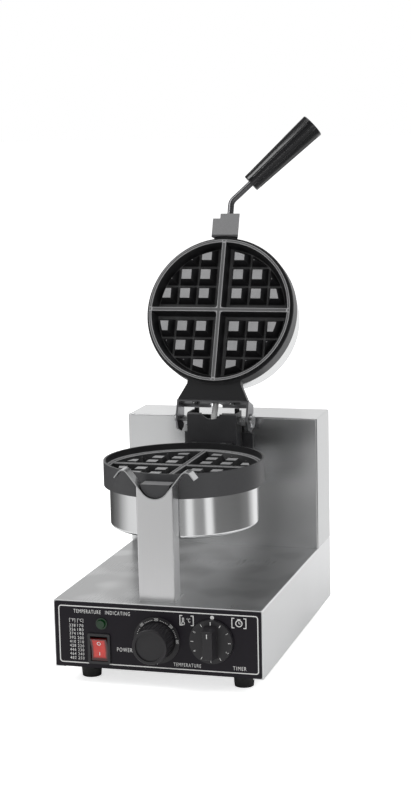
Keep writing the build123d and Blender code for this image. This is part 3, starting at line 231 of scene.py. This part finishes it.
# Soft steps in metres on a pan: height above its ring's top, reach from its axis, distance
# beside the middle of its nearer rib, and distance from its axis towards the lug
TOP_FACES = (-0.0012, -0.0007), (0.0012, 0.0006)
MOULD_FLOOR = (-0.0140, -0.0148)
MOULD_REACH = (0.0850, 0.0845)
SKIRT_REACH = (0.0951, 0.0961)
RING_REACH = (0.0880, 0.0885)
RING_INNER_EDGE = (0.0904, 0.0899)
RING_OUTER_EDGE = (0.0918, 0.0923)
PEG_BESIDE = (0.0090, 0.0095)
RIB_EDGE_BESIDE = (0.0014, 0.0020), (0.0032, 0.0027)
HINGE_SIDE = (-0.072, -0.080)
LUG_FROM = (0.0975, 0.0980)
LUG_TOP_FROM = (0.0990, 0.0995)
FACING = (0.85, 0.95)


def nonstick(name, axis, origin, lug_side, sheen_on_lug_end):
    """Dark coated casting; the flat tops and the lug's faces get a painted sheen, the ribs and rings
    painted highlights along their edges, and the skirt painted shade towards the hinge.
    """
    s = Shader(name, (0.02, 0.02, 0.021), 0.42, 0.0, Specular_IOR_Level=0.32)
    grit = s.noise(s.scaled((1500, 1500, 1500)), detail=2.0)
    cloud = s.noise(s.scaled((45, 45, 45)), detail=3.0)
    height = s.along(axis, origin)
    reach = s.out_from(axis, origin)
    across = s.math("ABSOLUTE", s.along((1, 0, 0), origin))
    upward = s.along(lug_side, origin)
    beside = s.math("MINIMUM", across, s.math("ABSOLUTE", upward))
    outside = s.ramp(reach, *SKIRT_REACH)
    inside = s.math("SUBTRACT", 1.0, outside)
    face = s.math("MULTIPLY", s.band(height, *TOP_FACES), inside)
    # Pegs stand at least 9 mm from the middle of both ribs and inside the round wall
    pegs = s.math("MULTIPLY", s.ramp(beside, *PEG_BESIDE), s.ramp(reach, *MOULD_REACH))
    # Painted highlights along the edges of the ribs and the ring
    rib_highlight = s.band(beside, *RIB_EDGE_BESIDE)
    ring_highlight = s.math("MAXIMUM", s.ramp(reach, *RING_OUTER_EDGE), s.ramp(reach, *RING_INNER_EDGE))
    ring_highlight = s.math("MULTIPLY", ring_highlight, s.ramp(reach, *RING_REACH))
    edge_highlights = s.math("MAXIMUM", rib_highlight, ring_highlight)
    # Painted sheen: the flat tops are painted lighter, with a cloudy spread
    painted_sheen = s.math("MULTIPLY", face, s.ramp(cloud, 0.25, 0.75, 0.8, 1.0))
    coat = s.mix(cloud, (0.010, 0.010, 0.011), (0.020, 0.020, 0.021))
    floor = s.math("MULTIPLY", s.ramp(height, *MOULD_FLOOR), inside)
    floor = s.math("MULTIPLY", floor, s.ramp(reach, *MOULD_REACH))
    coat = s.mix(floor, coat, (0.085, 0.085, 0.087))
    flat = s.mix(edge_highlights, (0.10, 0.10, 0.102), (0.34, 0.34, 0.345))
    flat = s.mix(pegs, flat, s.mix(grit, (0.36, 0.36, 0.365), (0.62, 0.62, 0.63)))
    inner = s.mix(painted_sheen, coat, flat)
    wall = s.mix(grit, (0.036, 0.036, 0.038), (0.072, 0.072, 0.075))
    skirt = s.mix(outside, inner, wall)
    # Painted shade on the skirt towards the hinge
    hinge_shade = s.math("MULTIPLY", outside, s.ramp(upward, *HINGE_SIDE))
    skirt = s.mix(hinge_shade, skirt, (0.011, 0.011, 0.012))
    normal = s.add("ShaderNodeNewGeometry").outputs["Normal"]
    on_top = s.share_of(normal, axis)
    on_end = s.share_of(normal, lug_side)
    turned_to = on_end if sheen_on_lug_end else on_top
    # Painted sheen on the lug's faces that face up, or on the lid also those towards its end
    lug = s.math("MULTIPLY", s.ramp(upward, *LUG_FROM), s.ramp(turned_to, *FACING))
    if sheen_on_lug_end:
        lug_top = s.math("MULTIPLY", s.ramp(upward, *LUG_TOP_FROM), s.ramp(on_top, *FACING))
        lug = s.math("MAXIMUM", lug, lug_top)
    s.colour(s.mix(lug, skirt, s.mix(grit, (0.13, 0.13, 0.132), (0.27, 0.27, 0.275))))
    s.rough(s.ramp(s.math("ADD", painted_sheen, grit), 0, 2, 0.36, 0.52))
    s.bump(grit, 0.00006, 0.6)
    return s.material


def grained(name, colour, rough, scale, depth, metal=0.0, spread=0.12, **fixed):
    """A material with fine grain in its colour, sheen and surface."""
    s = Shader(name, colour, rough, metal, **fixed)
    grain = s.noise(s.scaled((scale, scale, scale)), detail=3.0)
    cloud = s.noise(s.scaled((scale / 14, scale / 14, scale / 14)), detail=2.0)
    tone = s.math("ADD", s.math("MULTIPLY", grain, 0.6), s.math("MULTIPLY", cloud, 0.4))
    s.colour(s.mix(s.ramp(tone, 0.3, 0.7), shade(colour, 1 - spread), shade(colour, 1 + spread)))
    s.rough(s.ramp(tone, 0.3, 0.7, max(0.02, rough - 0.06), min(1.0, rough + 0.08)))
    s.bump(grain, depth)
    return s.material


def braided(name, colour):
    """Glass-fibre sleeving: a fine crossed braid."""
    s = Shader(name, colour, 0.7)
    weave = []
    for turn in (0.8, -0.8):
        wave = s.add("ShaderNodeTexWave")
        wave.inputs["Scale"].default_value = 420.0
        wave.inputs["Distortion"].default_value = 0.6
        s.link(s.scaled((1, 1, 1), (turn, 0, turn)), wave.inputs["Vector"])
        weave.append(wave.outputs["Fac"])
    cross = s.math("MAXIMUM", *weave)
    s.colour(s.mix(cross, shade(colour, 0.80), colour))
    s.bump(cross, 0.00012)
    return s.material


# Where the rocker's painted glow gives way to deep red, in metres out from its middle
ROCKER_SIDES = (0.0062, 0.0084)
ROCKER_ENDS = (0.0095, 0.0120)


def rocker_red():
    """Red plastic with a painted glow from within: bright and mottled in the middle, deep at the edges.
    """
    s = Shader("rocker_red", (0.6, 0.02, 0.012), 0.16, Coat_Weight=0.8)
    centre = (ROCKER[0] * MM, 0, ROCKER[1] * MM)
    beside = s.math("ABSOLUTE", s.along((1, 0, 0), centre))
    above = s.math("ABSOLUTE", s.along((0, 0, 1), centre))
    edge = s.math("MAXIMUM", s.ramp(beside, *ROCKER_SIDES), s.ramp(above, *ROCKER_ENDS))
    mottle = s.noise(s.scaled((160, 160, 160)), detail=2.0)
    # Painted glow: bright red in the middle, painted deep red towards the edges
    lit = s.mix(mottle, (0.50, 0.010, 0.006), (0.78, 0.035, 0.018))
    s.colour(s.mix(edge, lit, (0.060, 0.003, 0.003)))
    s.bump(mottle, 0.00003)
    return s.material


STEEL = (0.66, 0.665, 0.67)
BASE_STEEL = (0.77, 0.775, 0.78)
COLUMN_STEEL = (0.71, 0.715, 0.72)
SPUN_STEEL = (0.78, 0.785, 0.79)
looks = {
    # The base's top and the column's front get a painted reflection, darker towards one side
    "base_shell": brushed(
        "stainless_base", BASE_STEEL, 0.28, "Y", ((1, 0, 0), 0.03, -0.07, 0.48), level_only=True
    ),
    "column_shell": brushed("stainless_column", COLUMN_STEEL, 0.25, "Z", ((1, 0, 0), -0.07, 0.03, 0.78)),
    "back_cover": brushed("stainless_cover", STEEL, 0.30, "X"),
    "front_bracket": brushed("stainless_bracket", (0.72, 0.72, 0.725), 0.30, "Z"),
    "saddle_strip": brushed("bare_strip", (0.52, 0.525, 0.53), 0.30, "Y"),
    "lid_hinge_bracket": brushed("plated_bracket", (0.26, 0.26, 0.27), 0.30, "X"),
    "lower_drum_cover": spun("spun_lower", SPUN_STEEL, 0.13, WORLD_UP, PAN_CENTRE),
    "lid_drum_cover": spun("spun_lid", SPUN_STEEL, 0.13, LID_OUT, LID_CENTRE),
    "lower_grid_pan": nonstick("coated_lower", WORLD_UP, PAN_CENTRE, (0, -1, 0), False),
    "lid_grid_pan": nonstick("coated_lid", LID_OUT, LID_CENTRE, LID_UP, True),
}

sheet = grained("plain_sheet", (0.50, 0.51, 0.52), 0.38, 300, 0.00003, metal=1.0)
zinc = grained("zinc_fastener", (0.56, 0.565, 0.57), 0.28, 900, 0.00001, metal=1.0, spread=0.06)
turned = grained("turned_steel", (0.55, 0.555, 0.56), 0.28, 700, 0.00002, metal=1.0, spread=0.08)
dark_paint = grained("dark_paint", (0.024, 0.024, 0.026), 0.36, 1200, 0.00004)
dark_rod = grained("dark_rod", (0.16, 0.16, 0.165), 0.26, 900, 0.000004, metal=0.9)
panel_black = grained(
    "panel_black", (0.0075, 0.0055, 0.0095), 0.34, 1600, 0.00001, spread=0.06, Specular_IOR_Level=0.22
)
knob_black = grained("knob_black", (0.017, 0.016, 0.018), 0.36, 1400, 0.00002, Specular_IOR_Level=0.4)
moulding = grained("moulding_black", (0.022, 0.022, 0.024), 0.5, 1400, 0.00004)
grip = grained(
    "grip_black", (0.008, 0.008, 0.009), 0.16, 500, 0.000001, Coat_Weight=0.4, Coat_Roughness=0.05
)
rubber = grained("foot_rubber", (0.014, 0.014, 0.014), 0.7, 900, 0.00008, spread=0.25)
lit_red = rocker_red()
green = grained(
    "lamp_green", (0.002, 0.026, 0.006), 0.12, 300, 0.00002,
    spread=0.4, Coat_Weight=0.3, Specular_IOR_Level=0.4,
)
block_white = grained("block_white", (0.72, 0.72, 0.70), 0.5, 700, 0.00002, spread=0.04)
wool = grained("fibre_disc", (0.60, 0.57, 0.50), 0.95, 400, 0.0004, spread=0.2)
sheath = grained("heater_sheath", (0.20, 0.19, 0.18), 0.42, 500, 0.00003, metal=0.8, spread=0.25)
bronze = grained("bush_bronze", (0.60, 0.40, 0.18), 0.32, 600, 0.00003, metal=1.0)
sleeving = braided("sleeving", (0.88, 0.88, 0.87))
print_white = grained("print_white", (0.74, 0.74, 0.73), 0.5, 2500, 0.00001, spread=0.05)

for material, names in (
    (sheet, "bottom_plate panel_carrier thermostat_body timer_body lower_heater_clamp lid_heater_clamp"),
    (zinc, "foot_screws cover_screws earth_stud bracket_screws tab_screws hinge_pins"),
    (zinc, "hinge_nuts bearing_screws lower_centre_stud lid_centre_stud lower_cover_nut lid_cover_nut"),
    (turned, "flip_shaft shaft_collar"),
    (dark_paint, "hinge_box bearing_housing"),
    (dark_rod, "handle_rod web_screws"),
    (panel_black, "front_panel"),
    (knob_black, "thermostat_knob timer_knob dial_ring"),
    (moulding, "cable_gland gland_nut indicator_body switch_frame"),
    (grip, "handle_grip"),
    (rubber, "feet"),
    (lit_red, "power_rocker"),
    (green, "indicator_lens"),
    (block_white, "terminal_block"),
    (wool, "lower_insulation lid_insulation"),
    (sheath, "lower_heating_element lid_heating_element"),
    (bronze, "bearing_bush"),
    (sleeving, "lid_lead_sleeve lower_lead_sleeve column_leads panel_leads"),
):
    for name in names.split():
        looks[name] = material

for name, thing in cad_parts.items():
    thing.data.materials.clear()
    thing.data.materials.append(looks[name])


# Print on the panel and the knobs

class Print:
    """Flat white print on an upright plane at y metres that faces the front.

    Its calls take places and sizes in millimetres; across and up shift all of them.
    """

    # How far in metres lines stand off the plane, and pressed print off its node
    LIFT = 0.00003
    PRESSED_LIFT = 0.00006

    def __init__(self, name, y, across=0.0, up=0.0):
        self.name = name
        self.y = y
        self.across = across
        self.up = up
        self.mesh = bmesh.new()

    def spot(self, x, z):
        return Vector(((x + self.across) * MM, (z + self.up) * MM))

    def words(self, text, x, z, size, squeeze=1.0, turn=0.0, width=None):
        """Words round a middle point, squeezed by a factor or spread to a width."""
        curve = bpy.data.curves.new("words", "FONT")
        curve.body = text
        curve.size = 1.0
        curve.align_x = "CENTER"
        if width:
            curve.space_character = 1.25
        curve.align_y = "CENTER"
        curve.extrude = 0.03 / size
        curve.resolution_u = 3
        holder = bpy.data.objects.new("words", curve)
        flat = bpy.data.meshes.new_from_object(holder)
        if width:
            across = [vertex.co.x for vertex in flat.vertices]
            squeeze = width / size / (max(across) - min(across))
            flat.transform(Matrix.Translation((-(max(across) + min(across)) / 2, 0, 0)))
        middle = self.spot(x, z)
        place = Matrix.Translation((middle.x, self.y, middle.y)) @ Matrix.Rotation(turn, 4, "Y")
        small = Matrix.Diagonal((squeeze * size * MM, size * MM, size * MM, 1))
        upright = Matrix.Rotation(math.pi / 2, 4, "X") @ small
        flat.transform(place @ upright)
        self.mesh.from_mesh(flat)
        bpy.data.objects.remove(holder)
        bpy.data.curves.remove(curve)
        bpy.data.meshes.remove(flat)

    def stroke(self, points, width, closed=False):
        """A line of even width through points (x, z)."""
        points = [self.spot(x, z) for x, z in points]
        count = len(points)
        left, right = [], []
        for i, point in enumerate(points):
            before = points[i - 1] if i or closed else None
            after = points[(i + 1) % count] if i < count - 1 or closed else None
            sides = []
            for a, b in ((before, point), (point, after)):
                if a is not None and b is not None:
                    run = (b - a).normalized()
                    sides.append(Vector((-run.y, run.x)))
            side = sum(sides, Vector((0, 0))).normalized()
            side *= width * MM / 2 / max(0.5, side.dot(sides[0]))
            left.append(point + side)
            right.append(point - side)
        rows = []
        for row in (left, right):
            rows.append([self.mesh.verts.new((p.x, self.y - self.LIFT, p.y)) for p in row])
        for i in range(count if closed else count - 1):
            j = (i + 1) % count
            self.mesh.faces.new((rows[0][i], rows[0][j], rows[1][j], rows[1][i]))

    def dot(self, x, z, radius):
        ring = [self.spot(*point) for point in circle(x, z, radius, steps=16)]
        self.mesh.faces.new([self.mesh.verts.new((p.x, self.y - self.LIFT, p.y)) for p in ring])

    def press(self, node):
        """Lay the print on the front surface of a node."""
        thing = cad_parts[node]
        for vertex in self.mesh.verts:
            start = Vector((vertex.co.x, -1.0, vertex.co.z))
            hit, spot, _, _ = thing.ray_cast(start, Vector((0, 1, 0)))
            if hit:
                vertex.co.y = spot.y - self.PRESSED_LIFT + (vertex.co.y - self.y)

    def finish(self, body, material):
        bmesh.ops.recalc_face_normals(self.mesh, faces=self.mesh.faces)
        data = bpy.data.meshes.new(self.name)
        self.mesh.to_mesh(data)
        self.mesh.free()
        data.materials.append(material)
        piece = bpy.data.objects.new(self.name, data)
        bpy.context.scene.collection.objects.link(piece)
        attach(piece, body)


def rounded(x0, z0, x1, z1, radius, steps=6):
    """Points round a rectangle with rounded corners."""
    out = []
    for cx, cz, start in (
        (x1 - radius, z1 - radius, 0), (x0 + radius, z1 - radius, 90),
        (x0 + radius, z0 + radius, 180), (x1 - radius, z0 + radius, 270),
    ):
        for i in range(steps + 1):
            a = math.radians(start + 90 * i / steps)
            out.append((cx + radius * math.cos(a), cz + radius * math.sin(a)))
    return out


def circle(centre_x, centre_z, radius, steps=24):
    turns = [math.tau * i / steps for i in range(steps)]
    return [(centre_x + radius * math.cos(a), centre_z + radius * math.sin(a)) for a in turns]


def bracketed(centre_x, centre_z, half_wide, half_tall):
    """A pair of square brackets round a symbol on the panel."""
    low, high = centre_z - half_tall, centre_z + half_tall
    for side in (-1, 1):
        outer = centre_x + side * half_wide
        inner = centre_x + side * (half_wide - 3.0)
        panel.stroke([(inner, high), (outer, high), (outer, low), (inner, low)], 1.0)


# The panel's layout was measured from its own middle; across and up place it on the machine
panel = Print("panel_print", PANEL_Y - 0.00005, across=2.6, up=7.0)
panel.stroke(rounded(-120.6, 18.9, 117.2, 86.3, 3.0), 1.2, closed=True)
panel.words("TEMPERATURE", -85.9, 80.2, 6.4, width=33.0)
panel.words("INDICATING", -48.9, 80.2, 6.4, width=30.0)
panel.words("[°F]", -104.6, 69.4, 5.2, width=7.2)
panel.words("[°C]", -94.8, 69.4, 5.2, width=7.2)
for row, celsius in enumerate(range(170, 251, 10)):
    z = 62.9 - 4.85 * row
    panel.words(str(round(celsius * 1.8 + 32)), -104.6, z, 4.9, width=7.4)
    panel.words(str(celsius), -94.8, z, 4.9, width=7.4)
panel.words("POWER", -41.4, 37.2, 7.0, width=18.6)
panel.words("TEMPERATURE", 33.4, 24.0, 6.0, width=32.5)
panel.words("TIMER", 95.3, 24.0, 6.4, width=15.6)
panel.dot(64.0, 82.0, 2.3)

# Thermometer symbol and its degree letter
bracketed(33.8, 76.9, 7.9, 5.6)
panel.stroke(circle(29.6, 73.4, 1.7), 0.7, closed=True)
panel.stroke([(28.8, 75.0), (28.8, 79.6), (30.4, 79.6), (30.4, 75.0)], 0.7)
panel.words("°C", 36.0, 76.9, 6.6, 0.66)
# Clock symbol
bracketed(95.3, 77.3, 8.2, 5.6)
panel.stroke(circle(95.3, 77.0, 3.7), 1.0, closed=True)
panel.stroke([(95.3, 79.2), (95.3, 77.0), (97.2, 76.4)], 0.7)
panel.stroke([(93.4, 81.8), (97.2, 81.8)], 0.8)
# Pointer on the panel below the thermostat knob
panel.stroke([(-4.7, 27.4), (-2.3, 23.4), (0.1, 27.4)], 0.9)
panel.finish("base", print_white)


def around(centre, radius, angle):
    """The point at a clock angle round a centre."""
    return centre[0] + radius * math.sin(angle), centre[1] + radius * math.cos(angle)


# Dial ring: five values and the dots between them, on the ring's front
RING_FRONT = PANEL_Y - 0.0012
dial = Print("dial_print", RING_FRONT - Print.PRESSED_LIFT)
for i, value in enumerate(("0", "100", "200", "250", "300")):
    angle = math.radians(-90 + 45 * i)
    dial.words(value, *around(DIAL, 24.6, angle), 4.6, 0.72, angle)
for start in (-90, -45, 0, 45):
    for i in range(5):
        dial.dot(*around(DIAL, 24.0, math.radians(start + 12.0 + 5.25 * i)), 0.45)
dial.finish("base", print_white)

# Timer skirt: minutes and short lines, on the sloped rim's flat front
SKIRT_FRONT = PANEL_Y - 0.0044
timer = Print("timer_print", SKIRT_FRONT - Print.PRESSED_LIFT)
for i in range(1, 12):
    angle = math.tau * i / 12
    if i % 2 == 0:
        timer.words(str(i // 2), *around(TIMER, 22.0, angle), 4.6, 0.85, angle)
    else:
        timer.stroke([around(TIMER, 20.4, angle), around(TIMER, 23.6, angle)], 0.7)
timer.stroke([(TIMER[0], TIMER[1] + 20.0 + i) for i in range(5)], 1.0)
timer.stroke([(TIMER[0], TIMER[1] + 9.0 + i) for i in range(6)], 0.9)
timer.press("timer_knob")
timer.finish("timer_knob_body", print_white)

# Marks on the rocker: a ring for off above and a bar for on below
marks = Print("rocker_marks", PANEL_Y - 0.004)
marks.stroke(circle(ROCKER[0], 50.4, 2.0, steps=32), 0.8, closed=True)
marks.stroke([(ROCKER[0], 35.8 + i * 0.5) for i in range(9)], 0.9)
marks.press("power_rocker")
marks.finish("rocker_body", print_white)

# The lid's lead sleeve in millimetres, from the hollow shaft through the bracket to the lid's
# drum, a little thinner than the solid that it stands in for
SLEEVE_RADIUS = 3.9 * 0.97
ROUTE = (
    (-7.7, 125.5, 238.05), (-7.7, 108.0, 238.05), (-7.7, 96.0, 237.6), (-7.6, 91.2, 243),
    (-6.6, 93.0, 257), (-4.9, 96.0, 273), (-3.5, 99.4, 286.5), (-3.5, 108.0, 298), (-3.5, 119.0, 310.6),
)


def sleeve_form():
    line = bpy.data.curves.new("sleeve_line", "CURVE")
    line.dimensions = "3D"
    line.bevel_depth = SLEEVE_RADIUS * MM
    line.bevel_resolution = 8
    line.resolution_u = 12
    line.use_fill_caps = True
    spline = line.splines.new("NURBS")
    spline.points.add(len(ROUTE) - 1)
    for point, place in zip(spline.points, ROUTE):
        point.co = (*(v * MM for v in place), 1.0)
    spline.order_u = 3
    spline.use_endpoint_u = True
    holder = bpy.data.objects.new("sleeve_line", line)
    sleeve_mesh = bpy.data.meshes.new_from_object(holder)
    bpy.data.objects.remove(holder)
    bpy.data.curves.remove(line)
    for face in sleeve_mesh.polygons:
        face.use_smooth = True
    return sleeve_mesh


sleeve_mesh = sleeve_form()
sleeve_mesh.materials.clear()
sleeve_mesh.materials.append(sleeving)
sleeve = bpy.data.objects.new("lid_sleeve", sleeve_mesh)
bpy.context.scene.collection.objects.link(sleeve)
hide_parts("lid_lead_sleeve")
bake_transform(sleeve)


# Floor, light and camera

# Angle round the object in degrees and brightness of the pale screens that steel mirrors
SCREENS = (
    (-180, 0.95), (-157, 0.95), (-143, 0.10), (-125, 0.08), (-100, 0.22), (-72, 0.80), (-40, 0.90),
    (-16, 0.66), (2, 0.36), (15, 0.32), (19, 0.95), (25, 0.95), (29, 0.36), (42, 0.30), (46, 1.0),
    (53, 1.0), (58, 0.20), (100, 0.16), (122, 0.24), (143, 0.98), (180, 0.98),
)

# How far the floor is lifted to white, and where in metres the mirrored screens fade in on it
FLOOR_LIFT = 0.66
SCREENS_FROM = (0.35, 0.7)

# Brightness of the room to rough surfaces and of the background to the camera
ROOM_LEVEL = 0.55
BACKGROUND_LEVEL = 1.0


class Studio:
    """Calls for the nodes of the world or of the floor's material."""

    def __init__(self, tree):
        self.tree = tree

    def node(self, kind, *values, **settings):
        made = self.tree.nodes.new(kind)
        for key, value in settings.items():
            setattr(made, key, value)
        for socket, value in zip(made.inputs, values):
            if isinstance(value, (int, float)):
                socket.default_value = value
            else:
                self.tree.links.new(value, socket)
        return made

    def math(self, operation, a, b):
        return self.node("ShaderNodeMath", a, b, operation=operation).outputs[0]

    def glow(self, kind, strength):
        made = self.node(kind)
        made.inputs["Color"].default_value = (1, 1, 1, 1)
        if isinstance(strength, (int, float)):
            made.inputs["Strength"].default_value = strength
        else:
            self.tree.links.new(strength, made.inputs["Strength"])
        return made.outputs[0]

    def screens(self, east, north):
        """Pale screens with gaps between them, all round the object."""
        turn = self.math("ARCTAN2", east, self.math("MULTIPLY", north, -1.0))
        share = self.node("ShaderNodeMapRange", turn, -math.pi, math.pi, 0.0, 1.0).outputs["Result"]
        ramp = self.node("ShaderNodeValToRGB", share)
        steps = ramp.color_ramp.elements
        for angle, level in SCREENS[1:-1]:
            steps.new((angle + 180) / 360).color = (level, level, level, 1)
        for element, level in ((steps[0], SCREENS[0][1]), (steps[-1], SCREENS[-1][1])):
            element.color = (level, level, level, 1)
        return ramp.outputs["Color"]


def floor_material():
    """White to the camera where it is lit; metal sees the screens on it further out."""
    floor_paint = Shader("floor_paint", (0.93, 0.93, 0.93), 0.9)
    speck = floor_paint.noise(floor_paint.scaled((60, 60, 60)))
    floor_paint.colour(floor_paint.mix(speck, (0.925, 0.925, 0.925), (0.935, 0.935, 0.935)))
    ground = Studio(floor_paint.tree)
    paths = ground.node("ShaderNodeLightPath").outputs
    east, north, _ = ground.node("ShaderNodeSeparateXYZ", floor_paint.place).outputs
    clear = ground.math("MAXIMUM", paths["Is Camera Ray"], paths["Is Transmission Ray"])
    lifted = ground.glow("ShaderNodeEmission", ground.math("MULTIPLY", clear, FLOOR_LIFT))
    near = ground.node("ShaderNodeAddShader", floor_paint.surface.outputs[0], lifted).outputs[0]
    mirrored = ground.glow("ShaderNodeEmission", ground.screens(east, north))
    reach = floor_paint.out_from((0, 0, 1), (0, 0, 0))
    far = ground.node("ShaderNodeMapRange", reach, *SCREENS_FROM, 0.0, 1.0).outputs["Result"]
    choice = ground.math("MULTIPLY", far, paths["Is Glossy Ray"])
    surface = ground.node("ShaderNodeMixShader", choice, near, mirrored).outputs[0]
    target = next(n for n in floor_paint.tree.nodes if n.type == "OUTPUT_MATERIAL")
    floor_paint.link(surface, target.inputs["Surface"])
    return floor_paint.material


def lay_floor(half):
    """A level square under the object, from -half to half metres each way."""
    data = bpy.data.meshes.new("floor")
    corners = [(-half, -half, 0), (half, -half, 0), (half, half, 0), (-half, half, 0)]
    data.from_pydata(corners, [], [(0, 1, 2, 3)])
    data.materials.append(floor_material())
    thing = bpy.data.objects.new("floor", data)
    bpy.context.scene.collection.objects.link(thing)


lay_floor(30.0)


def light_room():
    """White behind the object; steel mirrors the screens, and the rest of the room is pale."""
    world = bpy.data.worlds.new("studio")
    bpy.context.scene.world = world
    world.use_nodes = True
    world.node_tree.nodes.clear()
    sky = Studio(world.node_tree)
    direction = sky.node("ShaderNodeTexCoord").outputs["Generated"]
    east, north, height = sky.node("ShaderNodeSeparateXYZ", direction).outputs
    # High in front the room is dark, so that the coated castings keep their black
    high = sky.node("ShaderNodeMapRange", height, 0.22, 0.45, 0.0, 0.85).outputs["Result"]
    front = sky.math("MULTIPLY", north, -1.0)
    ahead = sky.node("ShaderNodeMapRange", front, 0.15, 0.55, 0.0, 1.0).outputs["Result"]
    open_sky = sky.math("SUBTRACT", 1.0, sky.math("MULTIPLY", high, ahead))
    mirrored = sky.glow("ShaderNodeBackground", sky.math("MULTIPLY", sky.screens(east, north), open_sky))
    paths = sky.node("ShaderNodeLightPath").outputs
    clear = sky.math("MAXIMUM", paths["Is Camera Ray"], paths["Is Transmission Ray"])
    room = sky.glow("ShaderNodeBackground", ROOM_LEVEL)
    inside = sky.node("ShaderNodeMixShader", paths["Is Glossy Ray"], room, mirrored).outputs[0]
    background = sky.glow("ShaderNodeBackground", BACKGROUND_LEVEL)
    seen = sky.node("ShaderNodeMixShader", clear, inside, background).outputs[0]
    sky.node("ShaderNodeOutputWorld", seen)


light_room()


def soft_box(name, place, aim, size, power, mirrored=True):
    """A lamp with a large face; mirrored says whether steel shows it."""
    data = bpy.data.lights.new(name, "AREA")
    data.shape = "RECTANGLE"
    data.size, data.size_y = size
    data.energy = power
    thing = bpy.data.objects.new(name, data)
    thing.location = place
    thing.rotation_euler = (Vector(aim) - Vector(place)).to_track_quat("-Z", "Y").to_euler()
    thing.visible_glossy = mirrored
    bpy.context.scene.collection.objects.link(thing)


soft_box("key", (-1.9, -1.1, 2.2), (0, 0, 0.25), (1.4, 1.4), 28)
soft_box("side", (2.0, -0.5, 1.3), (0, 0, 0.25), (0.9, 1.8), 18, mirrored=False)
soft_box("top", (0, 0.3, 2.6), (0, 0, 0.2), (1.8, 1.8), 16)

# The camera fitted to the photograph: azimuth, elevation and roll in degrees, place in metres
SENSOR = 36.0
PICTURE_HEIGHT = 800
FOCAL_PIXELS = 1793.96
CAMERA_TURN = (16.22, 9.40, -1.27)
CAMERA_PLACE = (0.61229, -2.06489, 0.66312)


def stand_camera():
    """The camera stands where the photograph was taken."""
    camera_data = bpy.data.cameras.new("camera")
    camera_data.sensor_fit = "VERTICAL"
    camera_data.sensor_height = SENSOR
    camera_data.lens = FOCAL_PIXELS * SENSOR / PICTURE_HEIGHT
    camera_data.clip_end = 60.0
    camera = bpy.data.objects.new("camera", camera_data)
    azimuth, elevation, roll = (math.radians(a) for a in CAMERA_TURN)
    backward = Vector((
        math.sin(azimuth) * math.cos(elevation),
        -math.cos(azimuth) * math.cos(elevation),
        math.sin(elevation),
    ))
    level = (-backward).cross(WORLD_UP).normalized()
    upward = level.cross(-backward)
    sideways = math.cos(roll) * level + math.sin(roll) * upward
    above = -math.sin(roll) * level + math.cos(roll) * upward
    facing = Matrix((sideways, above, backward)).transposed().to_4x4()
    camera.matrix_world = Matrix.Translation(CAMERA_PLACE) @ facing
    bpy.context.scene.collection.objects.link(camera)
    bpy.context.scene.camera = camera


stand_camera()
bpy.context.scene.view_settings.view_transform = "Standard"
